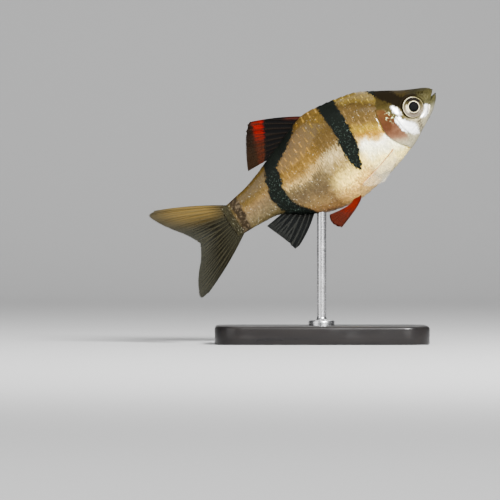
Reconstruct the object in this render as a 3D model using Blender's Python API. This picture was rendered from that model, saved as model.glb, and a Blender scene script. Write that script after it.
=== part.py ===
"""A tiger barb as a life-size museum model, nose up on a plain display stand. Metres, +Z up.

The fish is drawn level in its own axes. A station is the distance behind the tip of the upper lip, side is
the distance from the middle plane, positive on the fish's left, and height is measured from the body's axis.
The function place() bends the tail a little, pitches the fish nose up and carries it to its place over the
stand. The origin is the middle of the stand's underside, and the fish faces +X.
"""

import math

import bmesh
import bpy
import numpy as np
from mathutils import Vector
from mathutils.bvhtree import BVHTree

MM = 0.001
GAP = 0.3 * MM
FAR = 20 * MM
SHARP_ANGLE = math.radians(32.0)

# The pose: where the tip of the upper lip is, how steeply the fish points up, and how far the tail fin's
# tips swing to the fish's right.
SNOUT_X = 24.0 * MM
SNOUT_Z = 54.5 * MM
PITCH = math.radians(33.0)
SWING = 2.4 * MM
SWING_START = 22.0 * MM
SWING_END = 66.0 * MM

# The body in millimetres: station, height of the back, height of the belly, half width, height of the
# widest level.
BODY = (
    (4.0, 3.05, -4.50, 2.70, -0.50),
    (6.0, 4.10, -5.50, 3.25, -0.70),
    (8.6, 5.72, -6.85, 3.75, -0.90),
    (11.4, 7.35, -7.95, 4.15, -1.05),
    (13.6, 8.60, -8.75, 4.40, -1.20),
    (18.0, 9.85, -9.90, 4.60, -1.40),
    (22.3, 10.60, -10.65, 4.60, -1.40),
    (26.4, 11.00, -11.00, 4.40, -1.30),
    (30.5, 9.80, -10.30, 3.95, -1.00),
    (34.0, 8.45, -9.20, 3.40, -0.60),
    (37.6, 7.20, -7.20, 2.80, -0.30),
    (41.9, 5.55, -4.45, 2.10, 0.10),
    (45.6, 4.45, -3.85, 1.60, 0.20),
    (48.0, 4.05, -3.65, 1.30, 0.10),
    (50.6, 3.60, -3.55, 0.90, 0.00),
)
SNOUT_END = 4.0 * MM
BODY_END = 50.6 * MM
BACK_TAPER = 1.2
BELLY_TAPER = 1.0
# Points round a section, the spacing of the head's sections, where the trunk's sections start, and their
# count.
AROUND = 40
HEAD_SPACING = 0.75 * MM
TRUNK_SECTIONS_START = 15.4 * MM
TRUNK_SECTIONS = 22

# The mouth's rim: its upper middle, lower middle and corner as station and height, and the corner's side.
MOUTH_TOP = (0.10 * MM, 0.20 * MM)
MOUTH_BOTTOM = (-0.10 * MM, -0.50 * MM)
MOUTH_CORNER = (2.10 * MM, -1.60 * MM)
MOUTH_HALF_WIDTH = 1.30 * MM
THROAT = (2.60 * MM, -1.15 * MM)
LIP = 0.42 * MM
# How deep in the mouth its lining is drawn, as shares of the way to the rim, and the lip's roll as shares
# of LIP forward and outward.
LINING_SHARES = (0.3, 0.7)
LIP_ROLL = ((0.45, 0.25), (0.50, 0.70))
# How far the snout's curve runs straight on from the lip, outward and backward, and from the first body
# section, as shares of its length.
SNOUT_OUT = 0.20
SNOUT_BACK = 0.08
SNOUT_ARRIVE = 0.36
SNOUT_STEPS = 6

# Where the head ends, from nape to throat, as station and height in millimetres.
HEAD_EDGE = (
    (9.4, 13.0),
    (10.2, 9.0),
    (11.2, 6.8),
    (12.3, 4.8),
    (13.0, 2.9),
    (13.3, 0.6),
    (13.1, -2.0),
    (12.5, -4.8),
    (11.4, -6.9),
    (9.6, -9.4),
    (7.6, -12.0),
)
TAIL_START = 42.0 * MM

# The gill cover's front and lower edges as station and height in millimetres. They run on past the head's
# edge, which trims the cover.
GILL_COVER = (
    (15.0, 3.3),
    (12.4, 3.1),
    (11.0, 2.4),
    (10.2, 0.8),
    (9.9, -1.2),
    (9.7, -3.2),
    (9.3, -4.8),
    (9.5, -5.7),
    (10.6, -6.2),
    (12.0, -6.4),
    (15.0, -6.5),
)
GILL_COVER_STEPS = 26
GILL_DEPTH = 2.2 * MM
GILL_SWELL = 0.15 * MM

EYE = (5.72 * MM, -0.62 * MM)
EYE_RADIUS = 2.40 * MM
EYE_DEEP = 2.42 * MM
EYE_DOME = 1.30 * MM
EYE_TOE = math.radians(11.0)
EYE_SIDES = 28
PUPIL_RADIUS = 0.99 * MM
PUPIL_STEP = 0.08 * MM
NOSTRILS = ((2.35, 1.10), (3.00, 1.42))
NOSTRIL_RADIUS = 0.30 * MM
# Steps of the half round profiles of the eyeball, its socket and a nostril.
EYE_STEPS = 13
SOCKET_STEPS = 12
NOSTRIL_STEPS = 6

# The barbel's root and the way it points as station and height, and how far it stands off the skin.
BARBEL_ROOT = (2.45 * MM, -2.15 * MM)
BARBEL_WAY = (0.62, -0.78)
BARBEL_LENGTH = 1.8 * MM
BARBEL_RADIUS = 0.26 * MM
BARBEL_LIFT = 0.50 * MM
BARBEL_STEPS = 6
BARBEL_SIDES = 8
# How much of its length the barbel gains evenly along its steps, and how much of its radius it loses to its
# tip.
BARBEL_EVEN = 0.6
BARBEL_THINNING = 0.6

# Fins: half the thickness of the membrane and of a ray, each at the root and at the margin. The first ray
# is the stoutest, and the margin is notched a little between two rays.
MEMBRANE_ROOT = 0.25 * MM
MEMBRANE_TIP = 0.16 * MM
RAY_ROOT = 0.42 * MM
RAY_TIP = 0.20 * MM
FIRST_RAY = 1.2
LAST_RAY = 0.8
RAY_FOOT = 0.28
MARGIN_NOTCH = 0.015
FIN_ROWS = 8
# How the points of a margin are spread from its front, and how far a fin's front ray bows, as a share of
# its length.
MARGIN_SPREAD = 1.15
DORSAL_BOW = 0.10
ANAL_BOW = -0.16
CAUDAL_BOW = 0.10

# The margin of each middle fin as station and height in millimetres, from its front or outer edge.
DORSAL_START = 26.4 * MM
DORSAL_END = 37.4 * MM
DORSAL_RAYS = 11
DORSAL_MARGIN = ((36.2, 15.7), (37.2, 15.9), (39.0, 14.1), (40.8, 11.3), (42.3, 8.6), (42.9, 7.2))
ANAL_START = 35.6 * MM
ANAL_END = 41.3 * MM
ANAL_RAYS = 8
ANAL_MARGIN = ((42.4, -12.3), (43.5, -12.3), (43.9, -10.6), (44.7, -8.2), (45.5, -6.1), (45.9, -4.9))
CAUDAL_ROOT = 3.35 * MM
CAUDAL_UPPER_RAYS = 10
CAUDAL_UPPER = ((64.5, 11.1), (66.1, 10.8), (65.2, 8.3), (63.6, 5.7), (61.6, 2.9), (60.0, -0.1))
CAUDAL_LOWER_RAYS = 9
CAUDAL_LOWER = ((64.3, -10.2), (66.3, -10.2), (65.4, -7.7), (63.7, -5.3), (61.9, -3.3), (60.0, -0.4))

# The paired fins: the two ends of the root as station and height, and three points of the margin as
# station, side and height, all in millimetres, from the first ray to the last.
PELVIC_ROOT = ((25.2, -10.4), (27.2, -10.3))
PELVIC_RAYS = 9
PELVIC_MARGIN = ((32.6, 4.7, -13.9), (34.4, 4.0, -12.0), (33.2, 2.4, -10.2))
PECTORAL_ROOT = ((14.1, -5.7), (14.6, -7.5))
PECTORAL_RAYS = 12
PECTORAL_MARGIN = ((24.1, 5.5, -8.5), (22.9, 4.9, -10.5), (19.3, 3.9, -10.6))
# How far the root's middle stands off the skin, and how far the fin runs straight out before it turns back.
ROOT_LIFT = 0.50 * MM
PELVIC_ARCH = 1.0 * MM
PECTORAL_ARCH = 1.1 * MM

# The stand.
BASE_LENGTH = 46.0 * MM
BASE_WIDTH = 31.0 * MM
BASE_HEIGHT = 4.0 * MM
BASE_CORNER = 6.0 * MM
BASE_BEVEL = 0.7 * MM
SOCKET_DEPTH = 2.4 * MM
ROD_RADIUS = 1.0 * MM
FLANGE_RADIUS = 2.8 * MM
FLANGE_HEIGHT = 1.1 * MM
ROD_SIDES = 24
ROD_CHAMFER = 0.25 * MM
ROD_FILLET = 0.5 * MM
CORNER_STEPS = 6

# Colour, roughness and metallic value of each material.
FINISHES = {
    "skin": ((0.62, 0.52, 0.32), 0.35, 0.2),
    "cheek": ((0.85, 0.84, 0.78), 0.22, 0.6),
    "eye": ((0.75, 0.72, 0.60), 0.15, 0.3),
    "dark_fin": ((0.03, 0.03, 0.03), 0.4, 0.0),
    "red_fin": ((0.62, 0.07, 0.02), 0.4, 0.0),
    "clear_fin": ((0.45, 0.43, 0.34), 0.35, 0.0),
    "base": ((0.02, 0.02, 0.022), 0.4, 0.0),
    "rod": ((0.75, 0.75, 0.76), 0.25, 1.0),
}


def curve_through(places, values):
    """A function that runs smoothly through the values: cubic pieces, each point's slope as the chord's."""
    places = np.asarray(places, float)
    values = np.asarray(values, float)
    slopes = np.gradient(values, places, axis=0)

    def at(place):
        k = int(np.clip(np.searchsorted(places, place) - 1, 0, len(places) - 2))
        width = places[k + 1] - places[k]
        t = (place - places[k]) / width
        start = values[k] * (1 + 2 * t) * (1 - t) ** 2 + slopes[k] * width * t * (1 - t) ** 2
        end = values[k + 1] * t * t * (3 - 2 * t) + slopes[k + 1] * width * t * t * (t - 1)
        return start + end

    return at


BODY_SIZES = curve_through([row[0] * MM for row in BODY], [[x * MM for x in row[1:]] for row in BODY])


def place(station, side, height):
    """A point of the fish's own axes in the world, bent, pitched and carried over the stand."""
    along = max(0.0, station - SWING_START) / (SWING_END - SWING_START)
    side = side - SWING * along**2
    x = SNOUT_X - station * math.cos(PITCH) - height * math.sin(PITCH)
    z = SNOUT_Z - station * math.sin(PITCH) + height * math.cos(PITCH)
    return Vector((x, side, z))


def section(station, turn, swell=0.0):
    """The body's surface. Turn 0 is the back, a half turn the belly, and the left side comes first."""
    back, belly, half_width, level = BODY_SIZES(station)
    up = math.cos(turn)
    reach = back - level if up > 0 else level - belly
    taper = BACK_TAPER if up > 0 else BELLY_TAPER
    across = abs(math.sin(turn)) ** taper
    side = math.copysign((half_width + swell) * across, math.sin(turn))
    return np.array((station, side, level + (reach + swell * abs(up)) * up))


def surface_side(station, height):
    """How far the left flank is from the middle plane at that station and height."""
    back, belly, half_width, level = BODY_SIZES(station)
    reach, taper = (back - level, BACK_TAPER) if height > level else (level - belly, BELLY_TAPER)
    up = (height - level) / reach
    return half_width * math.sqrt(max(0.0, 1 - up * up)) ** taper


def off_the_skin(station, height, lift):
    """The point that far off the left flank, and the way straight out of the skin there."""
    back, belly, half_width, level = BODY_SIZES(station)
    reach = back - level if height > level else level - belly
    side = surface_side(station, height)
    outward = np.array((0.0, side / half_width**2, (height - level) / reach**2))
    outward /= np.linalg.norm(outward)
    return np.array((station, side, height)) + lift * outward, outward


def mouth_rim(turn):
    """The rim of the mouth at that turn: a half ellipse above and one below, joined at the corners."""
    up = math.cos(turn)
    middle = MOUTH_TOP if up > 0 else MOUTH_BOTTOM
    station = MOUTH_CORNER[0] + (middle[0] - MOUTH_CORNER[0]) * abs(up)
    height = MOUTH_CORNER[1] + (middle[1] - MOUTH_CORNER[1]) * abs(up)
    return np.array((station, MOUTH_HALF_WIDTH * math.sin(turn), height))


def snout(turn, share):
    """The snout's surface from the lip, at share 0, to the first body section, at share 1: a cubic."""
    outward = np.array((0.0, math.sin(turn), math.cos(turn)))
    start = mouth_rim(turn) + LIP * outward
    end = section(SNOUT_END, turn)
    behind = (section(SNOUT_END + MM, turn) - end) / MM
    length = np.linalg.norm(end - start)
    leave = start + length * SNOUT_OUT * outward + length * SNOUT_BACK * np.array((1.0, 0.0, 0.0))
    arrive = end - behind * length * SNOUT_ARRIVE
    weights = ((1 - share) ** 3, 3 * share * (1 - share) ** 2, 3 * share**2 * (1 - share), share**3)
    return weights[0] * start + weights[1] * leave + weights[2] * arrive + weights[3] * end


def lip_rings(turns):
    """Rings from deep in the mouth, over the rounded lip and out to the snout."""
    throat = np.array((THROAT[0], 0.0, THROAT[1]))
    rings = [[throat + (mouth_rim(t) - throat) * share for t in turns] for share in LINING_SHARES]
    rings.append([mouth_rim(t) for t in turns])
    for forward, out in LIP_ROLL:
        step = [np.array((-forward, out * math.sin(t), out * math.cos(t))) for t in turns]
        rings.append([mouth_rim(t) + LIP * s for t, s in zip(turns, step)])
    return rings


def finish(name):
    """The material of that name, made once."""
    found = bpy.data.materials.get(name)
    if found:
        return found
    colour, roughness, metallic = FINISHES[name]
    made = bpy.data.materials.new(name)
    made.use_nodes = True
    shader = made.node_tree.nodes["Principled BSDF"]
    shader.inputs["Base Color"].default_value = (*colour, 1.0)
    shader.inputs["Roughness"].default_value = roughness
    shader.inputs["Metallic"].default_value = metallic
    made.diffuse_color = (*colour, 1.0)
    return made


def mesh_object(name, points, faces, material):
    """An object from points and faces, with its faces turned outwards."""
    mesh = bpy.data.meshes.new(name)
    mesh.from_pydata([tuple(p) for p in points], [], faces)
    shape = bmesh.new()
    shape.from_mesh(mesh)
    bmesh.ops.recalc_face_normals(shape, faces=shape.faces)
    shape.to_mesh(mesh)
    shape.free()
    mesh.materials.append(finish(material))
    mesh.shade_smooth()
    mesh.set_sharp_from_angle(angle=SHARP_ANGLE)
    made = bpy.data.objects.new(name, mesh)
    bpy.context.scene.collection.objects.link(made)
    return made


def remove(*objects):
    for one in objects:
        bpy.data.objects.remove(one)


def combine(target, tool, operation):
    """Applies one Boolean of the tool to the target."""
    modifier = target.modifiers.new(operation.lower(), "BOOLEAN")
    modifier.operation = operation
    modifier.solver = "EXACT"
    modifier.object = tool
    bpy.context.view_layer.update()
    graph = bpy.context.evaluated_depsgraph_get()
    made = bpy.data.meshes.new_from_object(target.evaluated_get(graph))
    target.modifiers.clear()
    target.data = made
    return target


def duplicate(source, name):
    made = source.copy()
    made.data = source.data.copy()
    made.name = name
    bpy.context.scene.collection.objects.link(made)
    return made


def keep_largest(target):
    """Leaves only the largest closed surface of a mesh, as a stray scrap may come of a cut."""
    shape = bmesh.new()
    shape.from_mesh(target.data)
    left = set(shape.faces)
    groups = []
    while left:
        group, edge_of = set(), [left.pop()]
        while edge_of:
            face = edge_of.pop()
            group.add(face)
            for edge in face.edges:
                for other in edge.link_faces:
                    if other in left:
                        left.remove(other)
                        edge_of.append(other)
        groups.append(group)
    groups.sort(key=len)
    scraps = [face for group in groups[:-1] for face in group]
    bmesh.ops.delete(shape, geom=scraps, context="FACES")
    shape.to_mesh(target.data)
    shape.free()
    target.data.set_sharp_from_angle(angle=SHARP_ANGLE)
    target.data.name = target.name


def ring_mesh(name, rings, material, first_tip=None, last_tip=None):
    """Closed rings of points joined one to the next. A tip point or one flat face closes each end."""
    around = len(rings[0])
    points = [p for ring in rings for p in ring]
    faces = []
    for k in range(len(rings) - 1):
        for i in range(around):
            j = (i + 1) % around
            faces.append((k * around + i, k * around + j, (k + 1) * around + j, (k + 1) * around + i))
    last = (len(rings) - 1) * around
    for start, tip in ((0, first_tip), (last, last_tip)):
        if tip is None:
            faces.append(tuple(range(start, start + around)))
            continue
        points.append(tip)
        faces += [(start + i, start + (i + 1) % around, len(points) - 1) for i in range(around)]
    return mesh_object(name, points, faces, material)


def fish_body(name, swell=0.0):
    """The whole body as one closed surface: mouth, lips, snout, head, trunk and the tail's stalk."""
    turns = [2 * math.pi * k / AROUND for k in range(AROUND)]
    rings = lip_rings(turns)
    rings += [[snout(t, step / SNOUT_STEPS) for t in turns] for step in range(SNOUT_STEPS)]
    stations = [*np.arange(SNOUT_END, TRUNK_SECTIONS_START - HEAD_SPACING, HEAD_SPACING)]
    stations += [*np.linspace(TRUNK_SECTIONS_START, BODY_END, TRUNK_SECTIONS)]
    rings += [[section(s, t, swell) for t in turns] for s in stations]
    throat = place(THROAT[0], 0.0, THROAT[1])
    return ring_mesh(name, [[place(*p) for p in ring] for ring in rings], "skin", first_tip=throat)


def prism(name, outline, low, high):
    """A cutter: an outline of stations and heights drawn out from side low to side high."""
    sides = [[place(s, side, h) for s, h in outline] for side in (low, high)]
    count = len(outline)
    faces = [tuple(range(count)), tuple(range(count, 2 * count))]
    faces += [(i, (i + 1) % count, count + (i + 1) % count, count + i) for i in range(count)]
    return mesh_object(name, sides[0] + sides[1], faces, "skin")


def grown(outline, distance):
    """A closed outline moved outwards by that distance, corner by corner."""
    points = np.array(outline)
    before, after = np.roll(points, 1, axis=0), np.roll(points, -1, axis=0)
    turning = np.sum(points[:, 0] * after[:, 1] - after[:, 0] * points[:, 1])
    moved = []
    for last, here, coming in zip(before, points, after):
        first = (here - last) / np.linalg.norm(here - last)
        second = (coming - here) / np.linalg.norm(coming - here)
        normals = [np.array((d[1], -d[0])) * np.sign(turning) for d in (first, second)]
        middle = normals[0] + normals[1]
        moved.append(here + middle * distance / (1 + normals[0] @ normals[1]))
    return [tuple(p) for p in moved]


def head_outline(shift):
    """The head's side of the cut behind it, moved back by shift."""
    edge = [(s * MM + shift, h * MM) for s, h in HEAD_EDGE]
    return [*edge, (-FAR, edge[-1][1]), (-FAR, edge[0][1])]


def part_the_body():
    """The head, gill covers, trunk and tail stalk, parted from the whole body by thin cuts."""
    whole = fish_body("whole")
    plump = fish_body("plump", GILL_SWELL)
    head_side = prism("head_side", head_outline(-GAP / 2), -FAR, FAR)
    head_cut = prism("head_cut", head_outline(GAP / 2), -FAR, FAR)
    tail_box = [(TAIL_START - GAP / 2, -FAR), (3 * FAR, -FAR), (3 * FAR, FAR), (TAIL_START - GAP / 2, FAR)]
    tail_cut = prism("tail_cut", tail_box, -FAR, FAR)
    tail_box = [(max(s, TAIL_START + GAP / 2), h) for s, h in tail_box]
    tail_side = prism("tail_side", tail_box, -FAR, FAR)

    head = combine(duplicate(whole, "head"), head_side, "INTERSECT")
    trunk = combine(combine(duplicate(whole, "trunk"), head_cut, "DIFFERENCE"), tail_cut, "DIFFERENCE")
    tail = combine(duplicate(whole, "tail_stalk"), tail_side, "INTERSECT")
    edge = curve_through(range(len(GILL_COVER)), [(s * MM, h * MM) for s, h in GILL_COVER])
    cover = [tuple(edge(t)) for t in np.linspace(0, len(GILL_COVER) - 1, GILL_COVER_STEPS)]
    for side, sign in (("left", 1), ("right", -1)):
        plate = combine(duplicate(plump, f"gill_cover_{side}"), head_side, "INTERSECT")
        inner = prism("inner", cover, sign * GILL_DEPTH, sign * FAR)
        pocket = prism("pocket", grown(cover, GAP), sign * (GILL_DEPTH - GAP), sign * FAR)
        combine(plate, inner, "INTERSECT")
        combine(head, pocket, "DIFFERENCE")
        remove(inner, pocket)
        keep_largest(plate)
        plate.data.materials.clear()
        plate.data.materials.append(finish("cheek"))
    remove(whole, plump, head_side, head_cut, tail_cut, tail_side)
    for piece in (trunk, tail):
        keep_largest(piece)
    return head, trunk


def turned(name, centre, sign, toe, profile, material):
    """A closed shape turned about an axis that points to one side and toes in towards the snout. The
    profile lists the distance from the axis and along it, and starts and ends on the axis."""
    axis = np.array((-math.sin(toe), sign * math.cos(toe), 0.0))
    level = np.array((math.cos(toe), sign * math.sin(toe), 0.0))
    upright = np.array((0.0, 0.0, 1.0))
    turns = [2 * math.pi * i / EYE_SIDES for i in range(EYE_SIDES)]
    rings = []
    for radius, out in profile:
        ring = [centre + out * axis + radius * (math.cos(t) * level + math.sin(t) * upright) for t in turns]
        rings.append([place(*p) for p in ring])
    tips = (rings[0][0], rings[-1][0])
    return ring_mesh(name, rings[1:-1], material, *tips)


def half_round(radius, dome, steps):
    """The profile of an ellipsoid, from its inner pole to its outer one."""
    turns = [math.pi * k / steps for k in range(steps + 1)]
    return [(radius * math.sin(t), -dome * math.cos(t)) for t in turns]


def eye(side, sign):
    """An eyeball: a deep back, the iris, a low step round the pupil and a domed front."""
    rim = PUPIL_RADIUS + 3 * PUPIL_STEP
    ball = half_round(EYE_RADIUS, EYE_DOME, EYE_STEPS)
    profile = [(r, out) for r, out in ball if out < 0 or r > rim + 2 * PUPIL_STEP]
    front = profile[-1][1]
    profile += [(rim, front + PUPIL_STEP), (PUPIL_RADIUS, front + 2 * PUPIL_STEP)]
    profile += [(PUPIL_RADIUS / 2, EYE_DOME), (0.0, EYE_DOME + PUPIL_STEP / 2)]
    centre = np.array((EYE[0], sign * EYE_DEEP, EYE[1]))
    return turned(f"eye_{side}", centre, sign, EYE_TOE, profile, "eye")


def dress_head(head):
    """Cuts the eye sockets and the nostrils into the head, and adds the eyes and the barbels."""
    for side, sign in (("left", 1), ("right", -1)):
        eye(side, sign)
        barbel(side, sign)
        centre = np.array((EYE[0], sign * EYE_DEEP, EYE[1]))
        hollow = half_round(EYE_RADIUS + GAP, EYE_DOME + GAP, SOCKET_STEPS)
        tools = [turned("socket", centre, sign, EYE_TOE, hollow, "skin")]
        for station, height in NOSTRILS:
            spot = snout_side(station * MM, height * MM)
            pit = half_round(NOSTRIL_RADIUS, NOSTRIL_RADIUS, NOSTRIL_STEPS)
            tools.append(turned("nostril", spot * (1, sign, 1), sign, EYE_TOE, pit, "skin"))
        for tool in tools:
            combine(head, tool, "DIFFERENCE")
        remove(*tools)
    keep_largest(head)


def snout_side(station, height):
    """The point of the snout's left side at that station and height, where its curves pass nearest."""
    turns = np.linspace(0.05, math.pi - 0.05, 90)
    shares = np.linspace(0.0, 1.0, 40)
    points = np.array([[snout(t, share) for share in shares] for t in turns]).reshape(-1, 3)
    distance = np.hypot(points[:, 0] - station, points[:, 2] - height)
    return points[distance.argmin()]


def tube(name, path, radii, sides, material):
    """A round tube along a path, closed at both ends."""
    rings = []
    for k, (here, radius) in enumerate(zip(path, radii)):
        ahead = (path[min(k + 1, len(path) - 1)] - path[max(k - 1, 0)]).normalized()
        across = ahead.cross(Vector((0, 1, 0))).normalized()
        other = ahead.cross(across)
        turns = [2 * math.pi * i / sides for i in range(sides)]
        rings.append([here + radius * (math.cos(t) * across + math.sin(t) * other) for t in turns])
    return ring_mesh(name, rings, material)


def barbel(side, sign):
    """The small feeler at a corner of the mouth. It leaves the skin square and bends back along the jaw."""
    path, radii = [], []
    for k in range(BARBEL_STEPS + 1):
        share = k / BARBEL_STEPS
        back = BARBEL_LENGTH * share * (BARBEL_EVEN + (1 - BARBEL_EVEN) * share)
        skin = snout_side(BARBEL_ROOT[0] + BARBEL_WAY[0] * back, BARBEL_ROOT[1] + BARBEL_WAY[1] * back)
        lift = GAP + BARBEL_LIFT * (1 - (1 - share) ** 3)
        path.append(place(skin[0], sign * float(skin[1] + lift), skin[2]))
        radii.append(BARBEL_RADIUS * (1 - BARBEL_THINNING * share))
    tube(f"barbel_{side}", path, radii, BARBEL_SIDES, "skin")


def ray_columns(rays):
    """Columns across a fin, from 0 to 1, and the share of a ray's height at each: crest and two feet."""
    steps = [k + part for k in range(rays - 1) for part in (0, RAY_FOOT, 1 - RAY_FOOT)] + [rays - 1]
    ridge = [1.0 if step == int(step) else 0.0 for step in steps]
    return np.array(steps) / (rays - 1), np.array(ridge)


def fin_mesh(name, surface, rays, material):
    """A fin as one closed surface. The function surface gives the middle of the membrane at across and
    along, each from 0 to 1. Rays are ridges on both faces, and the faces are split into like triangles."""
    columns, ridge = ray_columns(rays)
    rows = np.linspace(0.0, 1.0, FIN_ROWS)
    notch = 1 - MARGIN_NOTCH * (1 - ridge)
    grid = np.array([[surface(u, v * n) for v in rows] for u, n in zip(columns, notch)])
    by_column = np.gradient(grid, axis=0)
    by_row = np.gradient(grid, axis=1)
    normal = np.cross(by_column, by_row)
    normal /= np.linalg.norm(normal, axis=2, keepdims=True)
    membrane = MEMBRANE_ROOT + (MEMBRANE_TIP - MEMBRANE_ROOT) * rows
    crest = RAY_ROOT + (RAY_TIP - RAY_ROOT) * rows
    stout = FIRST_RAY + (LAST_RAY - FIRST_RAY) * columns
    half = membrane[None, :] + (ridge * stout)[:, None] * (crest - membrane)[None, :]
    sides = [grid + sign * half[:, :, None] * normal for sign in (1, -1)]
    wide, long = len(columns), len(rows)
    points = [place(*p) for face in sides for p in face.reshape(-1, 3)]
    top = np.arange(wide * long).reshape(wide, long)
    faces = []
    for i in range(wide - 1):
        for j in range(long - 1):
            a, b, c, d = (int(k) for k in (top[i, j], top[i + 1, j], top[i + 1, j + 1], top[i, j + 1]))
            faces += [(a, b, c), (a, c, d)]
            under = wide * long
            faces += [(a + under, c + under, b + under), (a + under, d + under, c + under)]
    edge = [*top[:, 0], *top[-1, 1:], *top[-2::-1, -1], *top[0, -2:0:-1]]
    edge = [int(k) for k in edge]
    for here, there in zip(edge, edge[1:] + edge[:1]):
        under = wide * long
        faces += [(here, there, there + under), (here, there + under, here + under)]
    return mesh_object(name, points, faces, material)


def middle_fin(name, root, margin, rays, material, bow):
    """A fin in the middle plane. Each ray bows a little on its way from its root point to the margin."""
    shares = np.linspace(0.0, 1.0, len(margin)) ** MARGIN_SPREAD
    rim = curve_through(shares, [(s * MM, h * MM) for s, h in margin])

    def surface(across, along):
        start, end = np.array(root(across)), rim(across)
        chord = end - start
        square = np.array((-chord[1], chord[0]))
        point = start + chord * along + square * bow * (1 - across) * along * (1 - along)
        return np.array((point[0], 0.0, point[1]))

    return fin_mesh(name, surface, rays, material)


def middle_fins():
    """The dorsal, anal and tail fins."""

    def dorsal_root(across):
        station = DORSAL_START + (DORSAL_END - DORSAL_START) * across
        return station, BODY_SIZES(station)[0] + GAP

    def anal_root(across):
        station = ANAL_START + (ANAL_END - ANAL_START) * across
        return station, BODY_SIZES(station)[1] - GAP

    def upper_root(across):
        return BODY_END + GAP, CAUDAL_ROOT + (GAP / 2 - CAUDAL_ROOT) * across

    def lower_root(across):
        return BODY_END + GAP, -CAUDAL_ROOT + (CAUDAL_ROOT - GAP / 2) * across

    middle_fin("dorsal_fin", dorsal_root, DORSAL_MARGIN, DORSAL_RAYS, "dark_fin", DORSAL_BOW)
    middle_fin("anal_fin", anal_root, ANAL_MARGIN, ANAL_RAYS, "clear_fin", ANAL_BOW)
    middle_fin("tail_fin_upper", upper_root, CAUDAL_UPPER, CAUDAL_UPPER_RAYS, "clear_fin", CAUDAL_BOW)
    middle_fin("tail_fin_lower", lower_root, CAUDAL_LOWER, CAUDAL_LOWER_RAYS, "clear_fin", -CAUDAL_BOW)


def paired_fin(name, sign, root, margin, rays, material, arch):
    """A pelvic or pectoral fin. Its root lies along the flank, its rays leave the skin square and bend
    back, and they fan out to a curved margin."""
    first, second, third = (np.array((s, y, h)) * MM for s, y, h in margin)

    def surface(across, along):
        station = (root[0][0] + (root[1][0] - root[0][0]) * across) * MM
        height = (root[0][1] + (root[1][1] - root[0][1]) * across) * MM
        start, outward = off_the_skin(station, height, ROOT_LIFT)
        bend = start + arch * outward
        end = first * (1 - across) ** 2 + second * 2 * across * (1 - across) + third * across**2
        point = start * (1 - along) ** 2 + bend * 2 * along * (1 - along) + end * along**2
        point[1] *= sign
        return point

    return fin_mesh(name, surface, rays, material)


def paired_fins():
    pelvic = (PELVIC_ROOT, PELVIC_MARGIN, PELVIC_RAYS, "red_fin", PELVIC_ARCH)
    pectoral = (PECTORAL_ROOT, PECTORAL_MARGIN, PECTORAL_RAYS, "clear_fin", PECTORAL_ARCH)
    for side, sign in (("left", 1), ("right", -1)):
        paired_fin(f"pelvic_fin_{side}", sign, *pelvic)
        paired_fin(f"pectoral_fin_{side}", sign, *pectoral)


def stand_base():
    """A plate with rounded corners and a blind socket for the rod."""
    outline = []
    for corner, (x, y) in enumerate(((1, 1), (-1, 1), (-1, -1), (1, -1))):
        centre = Vector((x * (BASE_LENGTH / 2 - BASE_CORNER), y * (BASE_WIDTH / 2 - BASE_CORNER), 0))
        for k in range(CORNER_STEPS + 1):
            turn = math.pi / 2 * (corner + k / CORNER_STEPS)
            outline.append(centre + BASE_CORNER * Vector((math.cos(turn), math.sin(turn), 0)))
    rings = [[p + Vector((0, 0, z)) for p in outline] for z in (0.0, BASE_HEIGHT)]
    base = ring_mesh("stand_base", rings, "base")
    shape = bmesh.new()
    shape.from_mesh(base.data)
    rims = [e for e in shape.edges if abs(e.verts[0].co.z - e.verts[1].co.z) < MM / 100]
    bmesh.ops.bevel(shape, geom=rims, offset=BASE_BEVEL, segments=2, affect="EDGES", clamp_overlap=True)
    shape.to_mesh(base.data)
    shape.free()
    turns = [2 * math.pi * i / ROD_SIDES for i in range(ROD_SIDES)]
    hole = ROD_RADIUS + GAP
    levels = (BASE_HEIGHT - SOCKET_DEPTH, 2 * BASE_HEIGHT)
    rings = [[Vector((hole * math.cos(t), hole * math.sin(t), z)) for t in turns] for z in levels]
    socket = ring_mesh("socket", rings, "base")
    combine(base, socket, "DIFFERENCE")
    remove(socket)
    keep_largest(base)


def stand_rod(trunk):
    """A turned rod: a pin in the base, a flange on it, and a shaft whose top follows the belly above it."""
    shape = bmesh.new()
    shape.from_mesh(trunk.data)
    belly = BVHTree.FromBMesh(shape)
    shape.free()
    low = BASE_HEIGHT - SOCKET_DEPTH + GAP
    flange = BASE_HEIGHT + GAP
    profile = [
        (ROD_RADIUS - ROD_CHAMFER, low),
        (ROD_RADIUS, low + ROD_CHAMFER),
        (ROD_RADIUS, flange),
        (FLANGE_RADIUS, flange),
        (FLANGE_RADIUS, flange + FLANGE_HEIGHT - ROD_CHAMFER),
        (FLANGE_RADIUS - ROD_CHAMFER, flange + FLANGE_HEIGHT),
        (ROD_RADIUS + ROD_FILLET, flange + FLANGE_HEIGHT),
        (ROD_RADIUS, flange + FLANGE_HEIGHT + ROD_FILLET),
    ]
    turns = [2 * math.pi * i / ROD_SIDES for i in range(ROD_SIDES)]
    rings = [[Vector((r * math.cos(t), r * math.sin(t), z)) for t in turns] for r, z in profile]
    for radius in (ROD_RADIUS, ROD_RADIUS / 2):
        top = []
        for t in turns:
            spot = Vector((radius * math.cos(t), radius * math.sin(t), BASE_HEIGHT))
            hit = belly.ray_cast(spot, Vector((0, 0, 1)))[0]
            top.append(Vector((spot.x, spot.y, hit.z - GAP)))
        rings.append(top)
    middle = belly.ray_cast(Vector((0, 0, BASE_HEIGHT)), Vector((0, 0, 1)))[0]
    ring_mesh("stand_rod", rings, "rod", None, middle - Vector((0, 0, GAP)))


def main():
    remove(*list(bpy.data.objects))
    head, trunk = part_the_body()
    dress_head(head)
    middle_fins()
    paired_fins()
    stand_base()
    stand_rod(trunk)


main()
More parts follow.
